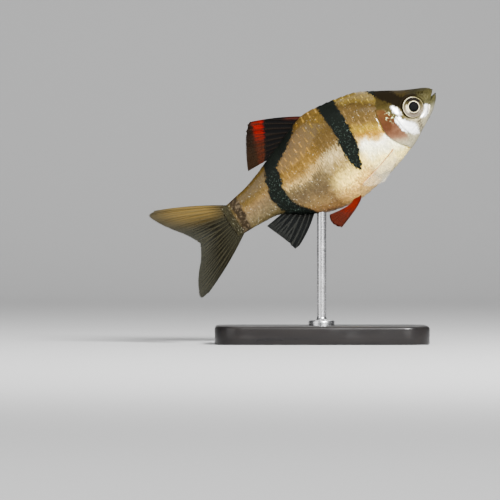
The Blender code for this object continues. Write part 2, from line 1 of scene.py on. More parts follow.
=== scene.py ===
"""A tiger barb as a life-size museum model, dressed around its solids.

Shapes are worked out in the fish's own axes in millimetres: station (behind the tip of the upper lip), side
(positive on the fish's left) and height (from the body's axis). place() carries them into the world, over the
stand and in metres.
"""

import math

import bpy
import numpy as np
from bpy.props import FloatProperty, FloatVectorProperty, PointerProperty
from bpy.types import Operator, Panel, PropertyGroup
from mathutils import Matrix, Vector


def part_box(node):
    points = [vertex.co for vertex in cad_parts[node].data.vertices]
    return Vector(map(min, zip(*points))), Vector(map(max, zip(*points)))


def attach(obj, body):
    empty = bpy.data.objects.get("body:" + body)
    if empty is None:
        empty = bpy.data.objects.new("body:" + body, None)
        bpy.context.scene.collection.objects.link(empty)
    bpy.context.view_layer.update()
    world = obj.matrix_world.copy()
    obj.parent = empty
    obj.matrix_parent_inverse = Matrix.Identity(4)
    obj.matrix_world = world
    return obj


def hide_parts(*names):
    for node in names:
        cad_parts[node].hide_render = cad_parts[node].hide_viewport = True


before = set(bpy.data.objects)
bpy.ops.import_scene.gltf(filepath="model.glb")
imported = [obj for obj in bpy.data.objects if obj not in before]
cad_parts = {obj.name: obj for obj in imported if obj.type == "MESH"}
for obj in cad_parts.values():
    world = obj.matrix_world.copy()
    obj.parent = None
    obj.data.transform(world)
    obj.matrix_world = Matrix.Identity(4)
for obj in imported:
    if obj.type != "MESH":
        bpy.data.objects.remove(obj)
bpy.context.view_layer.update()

bl_info = {
    "name": "Tiger Barb Model",
    "version": (1, 0, 0),
    "blender": (4, 5, 0),
    "location": "3D View > Sidebar > Tiger Barb",
    "description": "Builds a life-size tiger barb on a display stand",
    "category": "Object",
}

MM = 0.001
SEED = 7
ROUND = 2 * math.pi

# The pose, as in the solids: the tip of the upper lip, the pitch, and the swing of the tail to the right.
SNOUT = (24.0, 54.5)
PITCH = math.radians(33.0)
SWING = 2.4
SWING_START = 22.0
SWING_END = 66.0

# The body: station, height of the back, height of the belly, half width, height of the widest level.
BODY = np.array((
    (4.0, 3.05, -4.50, 2.70, -0.50),
    (6.0, 4.10, -5.50, 3.25, -0.70),
    (8.6, 5.72, -6.85, 3.75, -0.90),
    (11.4, 7.35, -7.95, 4.15, -1.05),
    (13.6, 8.60, -8.75, 4.40, -1.20),
    (18.0, 9.85, -9.90, 4.60, -1.40),
    (22.3, 10.60, -10.65, 4.60, -1.40),
    (26.4, 11.00, -11.00, 4.40, -1.30),
    (30.5, 9.80, -10.30, 3.95, -1.00),
    (34.0, 8.45, -9.20, 3.40, -0.60),
    (37.6, 7.20, -7.20, 2.80, -0.30),
    (41.9, 5.55, -4.45, 2.10, 0.10),
    (45.6, 4.45, -3.85, 1.60, 0.20),
    (48.0, 4.05, -3.65, 1.30, 0.10),
    (50.6, 3.60, -3.55, 0.90, 0.00),
))
SNOUT_END = 4.0
BODY_END = 50.6
TAIL_ROOT = 1.9
BACK_TAPER = 1.2
BELLY_TAPER = 1.0

# The mouth's rim: its upper middle, lower middle and corner, as station and height.
MOUTH_TOP = (0.10, 0.20)
MOUTH_BOTTOM = (-0.10, -0.50)
MOUTH_CORNER = (2.10, -1.60)
MOUTH_HALF_WIDTH = 1.30
THROAT = (2.60, -1.15)
LIP = 0.42

# The skin's rings of points, and how many of them lie in the throat, lips, snout and tail end.
AROUND = 256
THROAT_SHARES = (0.2, 0.45, 0.7, 0.88)
LIP_RINGS = 8
SNOUT_RINGS = 41
TAIL_RINGS = 8
HEAD_END = 14.2
HEAD_SPACING = 0.1
BODY_SPACING = 0.27

# Edges of the head's plates: height and station.
GILL_EDGE = (
    (-12.0, 7.6), (-9.4, 9.4), (-6.9, 11.2), (-4.8, 12.8), (-2.6, 13.75), (0.4, 13.5), (2.9, 13.0),
    (4.8, 12.3), (6.8, 11.2), (9.0, 10.2), (13.0, 9.4),
)
CHEEK_EDGE = (
    (-6.6, 10.6), (-5.6, 9.5), (-4.8, 9.3), (-3.2, 9.7), (-1.2, 9.9), (0.8, 10.2), (2.4, 11.0),
    (3.2, 12.2),
)

EYE = (5.72, -0.62)
EYE_RADIUS = 2.40
EYE_DEEP = 2.42
EYE_DOME = 1.30
EYE_TOE = math.radians(11.0)
EYE_OPENING = 2.42
PUPIL_RADIUS = 1.16
PUPIL_RING = 1.35
NOSTRILS = ((2.35, 1.10), (3.00, 1.42))
# Folds round the eye: distance from its middle, and the turns at which each starts and stops.
EYE_FOLDS = ((3.75, 2.3, 4.5), (4.15, 0.4, 1.9))

BARBEL_ROOT = (2.45, -2.15)
BARBEL_WAY = (0.62, -0.78)
BARBEL_LENGTH = 1.8
BARBEL_RADIUS = 0.26

# The marks, each a chain of round spots joined up: station, height, half width.
MARKS = (
    ((10.9, 8.0, 1.5), (9.3, 4.9, 1.35), (8.0, 2.7, 1.2), (6.6, 0.8, 1.2)),
    ((21.15, 12.0, 2.05), (21.1, 6.5, 1.9), (21.25, 3.5, 1.85), (21.6, 0.4, 1.8), (22.1, -2.2, 1.55),
     (22.3, -4.2, 1.0), (22.35, -5.5, 0.3)),
    ((29.0, 10.8, 0.3), (31.5, 9.6, 1.4), (34.0, 8.5, 1.9), (37.0, 7.0, 2.0), (38.4, 5.2, 1.45),
     (39.4, 2.4, 1.7), (40.3, -0.3, 1.75), (39.9, -3.1, 1.5), (38.9, -5.1, 1.2), (37.0, -7.5, 1.15),
     (35.8, -8.9, 0.9)),
    ((39.2, -5.2, 0.8), (41.0, -5.2, 0.7)),
    ((49.1, 4.3, 1.15), (49.3, 0.0, 1.0), (49.8, -4.0, 0.8)),
)
# Silver patches of the head, each a chain of round spots joined up: station, height, half width. They are
# painted near white, partly as a painted highlight.
SILVER = (
    ((9.8, -1.3, 0.55), (9.1, -3.0, 1.0), (8.3, -4.2, 1.1), (7.9, -5.2, 0.65)),
    ((9.5, 2.0, 0.25), (9.1, 0.9, 0.5), (8.8, -0.3, 0.2)),
    ((3.2, -1.8, 0.25), (3.5, -2.7, 0.4), (4.9, -3.2, 0.3)),
)
GILT = (((11.3, 0.9, 0.35), (10.4, -0.7, 0.35)),)
FOLD = (((3.7, 1.2, 0.10), (4.22, 1.69, 0.24), (5.58, 2.13, 0.33), (6.97, 1.83, 0.33), (7.9, 1.05, 0.22)),)
BLOTCH = (((5.9, -3.2, 0.35), (6.2, -4.3, 0.5), (6.7, -5.6, 0.35)),)

# The table of the flank that the scales are laid on, and the scales' stations and rows.
FLANK_START = 8.0
FLANK_END = 53.01
FLANK_STEP = 0.25
FLANK_REACH = 16.0
SCALES_START = 9.0
SCALES_END = 51.8
SCALE_ROWS = range(-8, 8)
LAST_STATION = 52.6
NUDGE = 0.02
SIZE_SPREAD = 0.08
TILT_SPREAD = 0.05
SCALE_THICKNESS = 0.030

# The scales' map: the length and height of flank that it holds, its margin, and a scale's patch on it.
MAP_LENGTH = 46.0
MAP_HEIGHT = 30.0
MAP_EDGE = 0.02
MAP_PATCH = 0.003

# Fins: the margins as station and height, and for the paired fins station, side and height.
ROOT_SINK = 0.35
DORSAL_START = 26.4
DORSAL_END = 37.4
DORSAL_RAYS = 11
DORSAL_BOW = 0.10
DORSAL_MARGIN = ((36.2, 15.7), (37.2, 15.9), (39.0, 14.1), (40.8, 11.3), (42.3, 8.6), (42.9, 7.2))
ANAL_START = 35.6
ANAL_END = 41.3
ANAL_RAYS = 8
ANAL_BOW = -0.16
ANAL_MARGIN = ((42.4, -12.3), (43.5, -12.3), (43.9, -10.6), (44.7, -8.2), (45.5, -6.1), (45.9, -4.9))
CAUDAL_ROOT = 3.35
CAUDAL_RAYS = 19
CAUDAL_BOW = 0.10
CAUDAL_UPPER = ((64.5, 11.1), (66.1, 10.8), (65.2, 8.3), (63.6, 5.7), (61.6, 2.9), (60.0, -0.1))
CAUDAL_LOWER = ((64.3, -10.2), (66.3, -10.2), (65.4, -7.7), (63.7, -5.3), (61.9, -3.3), (60.0, -0.4))
PELVIC_ROOT = ((25.2, -10.4), (27.2, -10.3))
PELVIC_RAYS = 9
PELVIC_MARGIN = ((32.6, 4.7, -13.9), (34.4, 4.0, -12.0), (33.2, 2.4, -10.2))
PELVIC_ARCH = 1.0
PECTORAL_ROOT = ((14.1, -5.7), (14.6, -7.5))
PECTORAL_RAYS = 12
PECTORAL_MARGIN = ((24.1, 5.5, -8.5), (22.9, 4.9, -10.5), (19.3, 3.9, -10.6))
PECTORAL_ARCH = 1.1
RAY_JOINTS = 26
FIN_WAVE = 0.10
RAY_COLUMNS = 22
FIN_ROWS = 64

# The stand: the base's corner and edge, the rod, the collar at its foot, and how far each end is sunk.
BASE_CORNER = 6.0
BASE_BEVEL = 0.7
ROD_RADIUS = 1.0
COLLAR_RADIUS = 2.8
COLLAR_HEIGHT = 0.7
COLLAR_EDGE = 0.4
ROD_FILLET = 0.7
ROD_SIDES = 72
SUNK_IN_BASE = 0.5
SUNK_IN_BELLY = 0.35

# The photograph's camera: its distance, how wide its view is at the fish, and its aim.
CAMERA_DISTANCE = 1200.0
VIEW_WIDTH = 107.75
VIEW_CENTRE = (-15.44, 20.24)
SENSOR = 36.0

# Paper sweep, in metres: half width, front, where it starts to rise, the bend's radius, and its top.
SWEEP_HALF = 1.6
SWEEP_FRONT = -1.4
SWEEP_BACK = 1.0
SWEEP_BEND = 0.35
SWEEP_TOP = 2.2


# Shapes.


def curve_through(places, values):
    """A smooth curve through the values: cubic pieces whose slope at each point is the chord's."""
    places = np.asarray(places, float)
    values = np.asarray(values, float)
    slopes = np.gradient(values, places, axis=0)

    def at(place_on):
        place_on = np.asarray(place_on, float)
        k = np.clip(np.searchsorted(places, place_on) - 1, 0, len(places) - 2)
        width = places[k + 1] - places[k]
        t = (place_on - places[k]) / width
        if values.ndim > 1:
            t, width = t[..., None], width[..., None]
        start = values[k] * (1 + 2 * t) * (1 - t) ** 2 + slopes[k] * width * t * (1 - t) ** 2
        return start + values[k + 1] * t * t * (3 - 2 * t) + slopes[k + 1] * width * t * t * (t - 1)

    return at


def distance_behind(edge):
    """A function that tells how far behind an edge, given as heights and stations, a place lies."""
    edge_at = curve_through(*zip(*edge))
    return lambda station, height: station - edge_at(np.clip(height, edge[0][0], edge[-1][0]))


body_sizes = curve_through(BODY[:, 0], BODY[:, 1:])
behind_gill = distance_behind(GILL_EDGE)
behind_cheek = distance_behind(CHEEK_EDGE)


def ease(low, high, x):
    """0 below low and 1 above high, with a smooth step between them."""
    t = np.clip((x - low) / (high - low), 0.0, 1.0)
    return t * t * (3 - 2 * t)


def window(x, start, full, last, end):
    """1 from full to last and 0 outside start and end, with smooth steps between them."""
    return ease(start, full, x) * ease(end, last, x)


def hump(x, width):
    """A bell of height 1 at 0."""
    return np.exp(-((x / width) ** 2))


def unit(vectors):
    """The vectors at length 1."""
    return vectors / np.maximum(np.linalg.norm(vectors, axis=-1, keepdims=True), 1e-12)


def place(points):
    """Points of the fish's own axes in the world: bent by the swing, pitched, and held over the stand."""
    station, side, height = np.moveaxis(np.asarray(points, float), -1, 0)
    along = np.maximum(0.0, station - SWING_START) / (SWING_END - SWING_START)
    x = SNOUT[0] - station * math.cos(PITCH) - height * math.sin(PITCH)
    z = SNOUT[1] - station * math.sin(PITCH) + height * math.cos(PITCH)
    return np.stack((x, side - SWING * along**2, z), axis=-1) * MM


def section(station, turn):
    """The body's surface. Across a station it is a half ellipse above the widest level and one below it."""
    station, turn = np.broadcast_arrays(np.asarray(station, float), turn)
    back, belly, half_width, level = np.moveaxis(body_sizes(station), -1, 0)
    up = np.cos(turn)
    reach = np.where(up > 0, back - level, level - belly)
    taper = np.where(up > 0, BACK_TAPER, BELLY_TAPER)
    across = np.sign(np.sin(turn)) * np.abs(np.sin(turn)) ** taper
    return np.stack((station, half_width * across, level + reach * up), axis=-1)


def tail_narrowing(share):
    """The width of the tail end as a share of the stalk's, from its start at 0 to its round end at 1."""
    return (1 - share) ** 0.6 * 0.85 + 0.15


def spokes(turn):
    """Unit vectors round the mouth, square to the fish's length."""
    return np.stack((0 * turn, np.sin(turn), np.cos(turn)), axis=-1)


def mouth_rim(turn):
    """The rim of the mouth: a half ellipse above and one below, joined at the corners."""
    up = np.cos(turn)
    middle = np.where(up[..., None] > 0, MOUTH_TOP, MOUTH_BOTTOM)
    corner = np.array(MOUTH_CORNER)
    along = corner + (middle - corner) * np.abs(up)[..., None]
    return np.stack((along[..., 0], MOUTH_HALF_WIDTH * np.sin(turn), along[..., 1]), axis=-1)


def snout(turn, share):
    """The snout from the lip, at share 0, to the first body section, at share 1: a cubic for each turn."""
    turn, share = np.broadcast_arrays(turn, share)
    start = mouth_rim(turn) + LIP * spokes(turn)
    end = section(SNOUT_END, turn)
    behind = section(SNOUT_END + 1.0, turn) - end
    length = np.linalg.norm(end - start, axis=-1, keepdims=True)
    leave = start + length * 0.20 * spokes(turn) + length * 0.08 * np.array((1.0, 0.0, 0.0))
    arrive = end - behind * length * 0.36
    t = share[..., None]
    return start * (1 - t) ** 3 + leave * 3 * t * (1 - t) ** 2 + arrive * 3 * t * t * (1 - t) + end * t**3


def lips(turn, roll):
    """The lip: a half circle rolled from the mouth's rim out to the snout."""
    forward = np.array((-0.5 * math.sin(roll), 0.0, 0.0))
    return mouth_rim(turn) + LIP * (forward + spokes(turn) * (1 - math.cos(roll)) / 2)


def chain_depth(station, height, chains):
    """How far inside the nearest chain of round spots a place lies, in millimetres, negative outside."""
    deepest = np.full(np.shape(station), -9.0)
    for chain in chains:
        for (s0, h0, w0), (s1, h1, w1) in zip(chain, chain[1:]):
            s, h = s1 - s0, h1 - h0
            t = np.clip(((station - s0) * s + (height - h0) * h) / (s * s + h * h), 0.0, 1.0)
            far = np.hypot(station - s0 - t * s, height - h0 - t * h)
            deepest = np.maximum(deepest, w0 + t * (w1 - w0) - far)
    return deepest


def markings(points):
    """What the colouring reads at a place: how deep in a black mark, the share of the height, and the
    station."""
    station, height = points[..., 0], points[..., 2]
    sizes = body_sizes(np.clip(station, SNOUT_END, BODY_END))
    back, belly = sizes[..., 0], sizes[..., 1]
    share = (height - belly) / (back - belly)
    return np.stack((chain_depth(station, height, MARKS), share, station), axis=-1)


def outward_normals(points, closed):
    """Unit normals of a grid of points, from the differences along its two directions."""
    along = np.gradient(points, axis=0)
    if closed:
        across = (np.roll(points, -1, axis=1) - np.roll(points, 1, axis=1)) / 2
    else:
        across = np.gradient(points, axis=1)
    return unit(np.cross(along, across))


# Meshes.


def grid_faces(rows, columns, closed):
    """Faces of a grid of rows and columns of points, closed round its columns or open."""
    wide = columns if closed else columns - 1
    i, j = np.meshgrid(np.arange(rows - 1), np.arange(wide), indexing="ij")
    k = (j + 1) % columns
    quads = (i * columns + j, (i + 1) * columns + j, (i + 1) * columns + k, i * columns + k)
    return np.stack(quads, axis=-1).reshape(-1, 4)


def sheet_faces(wide, long):
    """Faces of a thin closed sheet: the grids of its top and its underside, and the rim between them."""
    top = grid_faces(wide, long, False)
    under = wide * long
    grid = np.arange(under).reshape(wide, long)
    edge = np.concatenate((grid[:, 0], grid[-1, 1:], grid[-2::-1, -1], grid[0, -2:0:-1]))
    after = np.roll(edge, -1)
    rim = np.stack((edge, after, after + under, edge + under), axis=-1)
    return np.concatenate((top[:, ::-1], top + under, rim))


def capped_rings(rings):
    """The points and faces of closed rings with a point in the middle of each end ring."""
    rows, columns = rings.shape[:2]
    points = np.concatenate((rings.reshape(-1, 3), rings[[0, -1]].mean(axis=1)))
    j = np.arange(columns)
    k = (j + 1) % columns
    first, end = rows * columns, (rows - 1) * columns
    start = np.stack((np.full(columns, first), j, k), axis=-1)
    finish = np.stack((np.full(columns, first + 1), end + k, end + j), axis=-1)
    return points, [grid_faces(rows, columns, True), start, finish]


def outward(points, faces):
    """The faces turned round if the closed surface they make holds a negative volume."""
    total = 0.0
    for group in faces:
        for i in range(1, group.shape[1] - 1):
            a, b, c = points[group[:, 0]], points[group[:, i]], points[group[:, i + 1]]
            total += np.einsum("ij,ij->i", a, np.cross(b, c)).sum()
    return [group[:, ::-1] for group in faces] if total < 0 else faces


def make_piece(name, points, faces, material, replaced=(), data=None, uv=None, sharp=None):
    """A closed piece from points in metres and groups of faces. It rides on the one body."""
    mesh = bpy.data.meshes.new(name)
    faces = outward(points, faces)
    loops = np.concatenate([f.ravel() for f in faces])
    sizes = np.concatenate([np.full(len(f), f.shape[1]) for f in faces])
    mesh.vertices.add(len(points))
    mesh.vertices.foreach_set("co", np.asarray(points, np.float32).ravel())
    mesh.loops.add(len(loops))
    mesh.loops.foreach_set("vertex_index", loops.astype(np.int32))
    mesh.polygons.add(len(sizes))
    mesh.polygons.foreach_set("loop_start", (np.cumsum(sizes) - sizes).astype(np.int32))
    mesh.update(calc_edges=True)
    mesh.validate()
    for key, values in (data or {}).items():
        layer = mesh.attributes.new(key, "FLOAT_VECTOR", "POINT")
        layer.data.foreach_set("vector", np.asarray(values, np.float32).ravel())
    if uv is not None:
        layer = mesh.uv_layers.new(name="OFBake")
        layer.data.foreach_set("uv", np.asarray(uv, np.float32)[loops].ravel())
    mesh.materials.append(material)
    mesh.shade_smooth()
    if sharp:
        mesh.set_sharp_from_angle(angle=math.radians(sharp))
    piece = bpy.data.objects.new(name, mesh)
    bpy.context.scene.collection.objects.link(piece)
    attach(piece, "root")
    if replaced:
        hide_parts(*replaced)


# Shader helpers.


class Board:
    """A node tree with short ways to add nodes and join them."""

    def __init__(self, tree):
        self.tree = tree
        self.count = 0

    def node(self, kind, *values, **settings):
        made = self.tree.nodes.new("ShaderNode" + kind)
        made.location = (220 * (self.count % 12), -260 * (self.count // 12))
        self.count += 1
        for key, value in settings.items():
            setattr(made, key, value)
        self.feed(made, dict(enumerate(values)))
        return made

    def feed(self, node, values):
        for key, value in values.items():
            if isinstance(value, bpy.types.NodeSocket):
                self.tree.links.new(value, node.inputs[key])
            else:
                node.inputs[key].default_value = value

    def calc(self, operation, *values, clamp=False):
        return self.node("Math", *values, operation=operation, use_clamp=clamp).outputs[0]

    def times(self, first, *others):
        """The product of the values."""
        for other in others:
            first = self.calc("MULTIPLY", first, other)
        return first

    def most(self, first, *others):
        """The largest of the values."""
        for other in others:
            first = self.calc("MAXIMUM", first, other)
        return first

    def line(self, x, slope, start):
        """The slope times x, plus the start."""
        return self.calc("MULTIPLY_ADD", x, slope, start)

    def inverse(self, x):
        """1 less x."""
        return self.calc("SUBTRACT", 1.0, x)

    def stray(self, value, *noises):
        """The value with each noise added, as wide as its reach and even about the noise's middle."""
        for noise, reach in noises:
            value = self.line(self.calc("SUBTRACT", noise, 0.5), reach, value)
        return value

    def step(self, low, high, x):
        """0 at low and 1 at high, with a smooth step between them."""
        return self.node("MapRange", x, low, high, 0.0, 1.0, interpolation_type="SMOOTHSTEP").outputs[0]

    def between(self, x, start, full, last, end):
        """1 from full to last and 0 outside start and end, with smooth steps between them."""
        return self.times(self.step(start, full, x), self.step(end, last, x))

    def ramp(self, factor, *stops):
        """Colours blended along the factor. Each stop is a place followed by its colour."""
        made = self.node("ValToRGB", factor)
        elements = made.color_ramp.elements
        while len(elements) < len(stops):
            elements.new(0.5)
        for element, (where, *colour) in zip(elements, stops):
            element.position = where
            element.color = (*colour, 1.0)
        return made.outputs[0]

    def mix(self, factor, first, second, way="MIX"):
        made = self.node("Mix", data_type="RGBA", blend_type=way)
        pair = [c if isinstance(c, bpy.types.NodeSocket) else (*c, 1.0) for c in (first, second)]
        self.feed(made, {0: factor, 6: pair[0], 7: pair[1]})
        return made.outputs[2]

    def paint(self, colour, *coats):
        """The colour with each coat laid over it in turn by its mask."""
        for mask, coat in coats:
            colour = self.mix(mask, colour, coat)
        return colour

    def dimmed(self, colour, level):
        """The colour times a level of grey."""
        return self.mix(1.0, colour, self.node("CombineColor", level, level, level).outputs[0], "MULTIPLY")

    def noise(self, size_mm, detail=3.0, rough=0.5, where=None, stretch=None, turn=0.0):
        """Noise whose features are about that size, read in object coordinates. It may be stretched along
        the axes of a frame that is pitched by turn."""
        where = where or self.node("TexCoord").outputs["Object"]
        if stretch:
            where = self.node("Mapping", where, vector_type="TEXTURE").outputs[0]
            where.node.inputs["Rotation"].default_value = (0.0, -turn, 0.0)
            where.node.inputs["Scale"].default_value = stretch
        made = self.node("TexNoise", noise_dimensions="3D")
        scale = 1.0 / (size_mm * MM)
        self.feed(made, {"Vector": where, "Scale": scale, "Detail": detail, "Roughness": rough})
        return made.outputs[0]

    def parts(self, vector):
        return self.node("SeparateXYZ", vector).outputs[:3]

    def data(self, name):
        return self.node("Attribute", attribute_name=name, attribute_type="GEOMETRY").outputs["Vector"]

    def group(self, tree, **values):
        made = self.node("Group", node_tree=tree)
        self.feed(made, values)
        return made.outputs

    def bump(self, height, strength, distance_mm):
        made = self.node("Bump")
        self.feed(made, {"Strength": strength, "Distance": distance_mm * MM, "Height": height})
        return made.outputs[0]


def shared_group(name, inputs, outputs, wire):
    """The node group of that name, made on first use. wire(board, given) returns what each output shows.
    Each input and output is a name and a kind."""
    found = bpy.data.node_groups.get(name)
    if found:
        return found
    tree = bpy.data.node_groups.new(name, "ShaderNodeTree")
    for way, sockets in (("INPUT", inputs), ("OUTPUT", outputs)):
        for label, kind in sockets:
            tree.interface.new_socket(label, in_out=way, socket_type="NodeSocket" + kind)
    board = Board(tree)
    shown = wire(board, tree.nodes.new("NodeGroupInput").outputs)
    board.feed(tree.nodes.new("NodeGroupOutput"), shown)
    return tree


def shared_material(name, look, see_through=False):
    """The material of that name, made on first use. look(board) returns what its shader is given."""
    found = bpy.data.materials.get(name)
    if found:
        return found
    made = bpy.data.materials.new(name)
    made.use_nodes = True
    if see_through:
        made.surface_render_method = "DITHERED"
    board = Board(made.node_tree)
    board.feed(made.node_tree.nodes["Principled BSDF"], look(board))
    return made


# Colouring.


def barb_colouring(board, given):
    """The barb's colours from markings(): the colour, where it is black, and where it is silver. The colour
    holds painted light: highlights on the shoulder and belly, pale glint specks, and a darkening towards the
    tail that is partly painted light.
    """
    look = bpy.context.scene.barb_skin
    depth, share, station = board.parts(given["Markings"])
    broad, fine = board.noise(2.6), board.noise(0.55, 4.0, 0.65)
    fibres = board.noise(1.0, 2.0, 0.6, stretch=(0.22, 0.22, 1.5), turn=PITCH)
    fleck = board.noise(1.0, 2.0, 0.6, stretch=(0.16, 0.16, 0.42), turn=PITCH)
    black = board.step(-0.20, 0.16, board.stray(depth, (fine, 1.2), (fibres, 1.5), (broad, 0.5)))

    drop = board.line(board.calc("SUBTRACT", station, 23.0), 0.005, board.calc("ADD", share, 0.03))
    drop = board.stray(drop, (broad, 0.10), (fibres, 0.32))
    rise = board.line(board.calc("SUBTRACT", station, 20.0), -0.022, share)
    rise = board.stray(rise, (broad, 0.22), (fibres, 0.10))
    # Ahead of the first band. Its near-white stops are partly the pale belly and partly a painted highlight,
    # the bright patch on the shoulder.
    front = board.ramp(
        rise, (0.00, 0.15, 0.14, 0.10), (0.07, 0.17, 0.150, 0.090), (0.13, 0.62, 0.50, 0.22),
        (0.24, 1.0, 0.80, 0.24), (0.34, 1.0, 0.94, 0.54), (0.45, 1.0, 0.96, 0.74),
        (0.495, 0.56, 0.36, 0.09), (0.53, 0.26, 0.13, 0.012), (0.62, 0.27, 0.170, 0.012),
        (0.72, 0.115, 0.070, 0.020), (0.86, 0.082, 0.052, 0.016), (0.93, 0.040, 0.027, 0.007),
        (1.00, 0.15, 0.104, 0.016),
    )
    # Between the first band and the rear. Its bright gold stops low on the belly are partly the belly's own
    # gold and partly a painted highlight.
    middle = board.ramp(
        drop, (0.06, 0.35, 0.22, 0.07), (0.18, 0.54, 0.31, 0.06), (0.29, *look.belly),
        (0.40, 0.20, 0.130, 0.026), (0.51, 0.33, 0.24, 0.098), (0.575, 0.42, 0.32, 0.14),
        (0.615, *look.flank), (0.78, 0.058, 0.036, 0.010), (0.90, 0.075, 0.046, 0.007), (1.00, *look.back),
    )
    # Behind the middle and on the stalk the colours are darker: partly the fish's own and partly painted
    # light that falls off towards the tail.
    rear = board.ramp(
        drop, (0.06, 0.145, 0.070, 0.028), (0.22, 0.135, 0.082, 0.024), (0.34, 0.070, 0.046, 0.018),
        (0.44, 0.072, 0.049, 0.018), (0.53, 0.095, 0.066, 0.024), (0.58, 0.38, 0.25, 0.075),
        (0.625, 0.17, 0.095, 0.018), (0.80, 0.155, 0.085, 0.015), (0.92, 0.115, 0.060, 0.009),
        (1.00, 0.06, 0.031, 0.004),
    )
    stalk = board.ramp(
        drop, (0.14, 0.058, 0.045, 0.018), (0.36, 0.080, 0.058, 0.024), (0.58, 0.100, 0.065, 0.026),
        (0.68, 0.125, 0.075, 0.025), (0.80, 0.105, 0.067, 0.018), (1.00, 0.052, 0.034, 0.006),
    )
    colour = board.paint(
        front, (board.step(18.5, 21.5, station), middle), (board.step(26.0, 30.5, station), rear),
        (board.step(38.5, 41.5, station), stalk), (board.step(50.0, 50.8, station), (0.018, 0.016, 0.0085)),
    )
    colour = board.dimmed(colour, board.times(board.line(fine, 1.8, 0.10), board.line(fibres, 1.3, 0.35)))
    # Fine pale specks: painted highlights, tiny glints on the skin.
    glint_specks = board.times(board.step(0.66, 0.74, board.noise(0.30, 2.0, 0.6)), 0.55)
    green = board.times(board.step(0.62, 0.72, fleck), board.step(48.5, 45.0, station),
                        board.step(0.92, 0.62, share))
    umber = board.mix(board.step(0.50, 0.62, fine), (0.013, 0.009, 0.005), (0.050, 0.037, 0.022))
    dark = board.paint(look.band, (board.step(45.0, 48.0, station), umber), (green, look.glitter))
    colour = board.paint(colour, (glint_specks, (0.95, 0.88, 0.66)), (black, dark))
    silver = board.times(board.inverse(black), board.line(board.step(0.80, 0.45, share), 0.6, 0.25))
    return {"Color": colour, "Black": black, "Silver": silver}


def colouring(board):
    """The outputs of the barb's colouring at this material's markings data."""
    tree = shared_group(
        "Barb colouring", (("Markings", "Vector"),),
        (("Color", "Color"), ("Black", "Float"), ("Silver", "Float")), barb_colouring,
    )
    return board.group(tree, Markings=board.data("markings"))


def stand_wear(board, given):
    """Fine handling marks: brighter rubbed patches, scratches and a little dust on upward faces."""
    where = board.node("TexCoord").outputs["Object"]
    rubbed = board.step(0.52, 0.75, board.noise(6.0, 5.0, 0.6))
    lines = board.node("Mapping", where).outputs[0]
    lines.node.inputs["Rotation"].default_value = (0.2, 0.1, 0.6)
    lines.node.inputs["Scale"].default_value = (1.0, 14.0, 14.0)
    scratch = board.step(0.52, 0.80, board.noise(5.0, 2.0, 0.5, where=lines))
    scratch = board.times(scratch, given["Scratches"])
    up = board.parts(board.node("NewGeometry").outputs["Normal"])[2]
    dusty = board.times(board.step(0.6, 0.98, up), board.step(0.35, 0.85, board.noise(0.35, 5.0, 0.7)),
                        given["Dust"])
    return {"Rubbed": board.most(rubbed, scratch), "Dusty": dusty, "Height": scratch}


def wear(board, scratches, dust):
    """The outputs of the stand's wear for that much scratching and dust."""
    tree = shared_group(
        "Stand wear", (("Scratches", "Float"), ("Dust", "Float")),
        (("Rubbed", "Float"), ("Dusty", "Float"), ("Height", "Float")), stand_wear,
    )
    return board.group(tree, Scratches=scratches, Dust=dust)


def fin_rays(board, given):
    """Where a fin's rays and their cross joints are, from its fan data."""
    _, along, ray = board.parts(given["Fan"])
    wobble = board.line(board.noise(1.2), 0.06, along)
    wave = board.calc("SINE", board.times(wobble, RAY_JOINTS * ROUND))
    return {"Ray": board.step(0.15, 0.8, ray), "Joint": board.times(board.step(0.55, 0.95, wave), ray)}


# Materials.


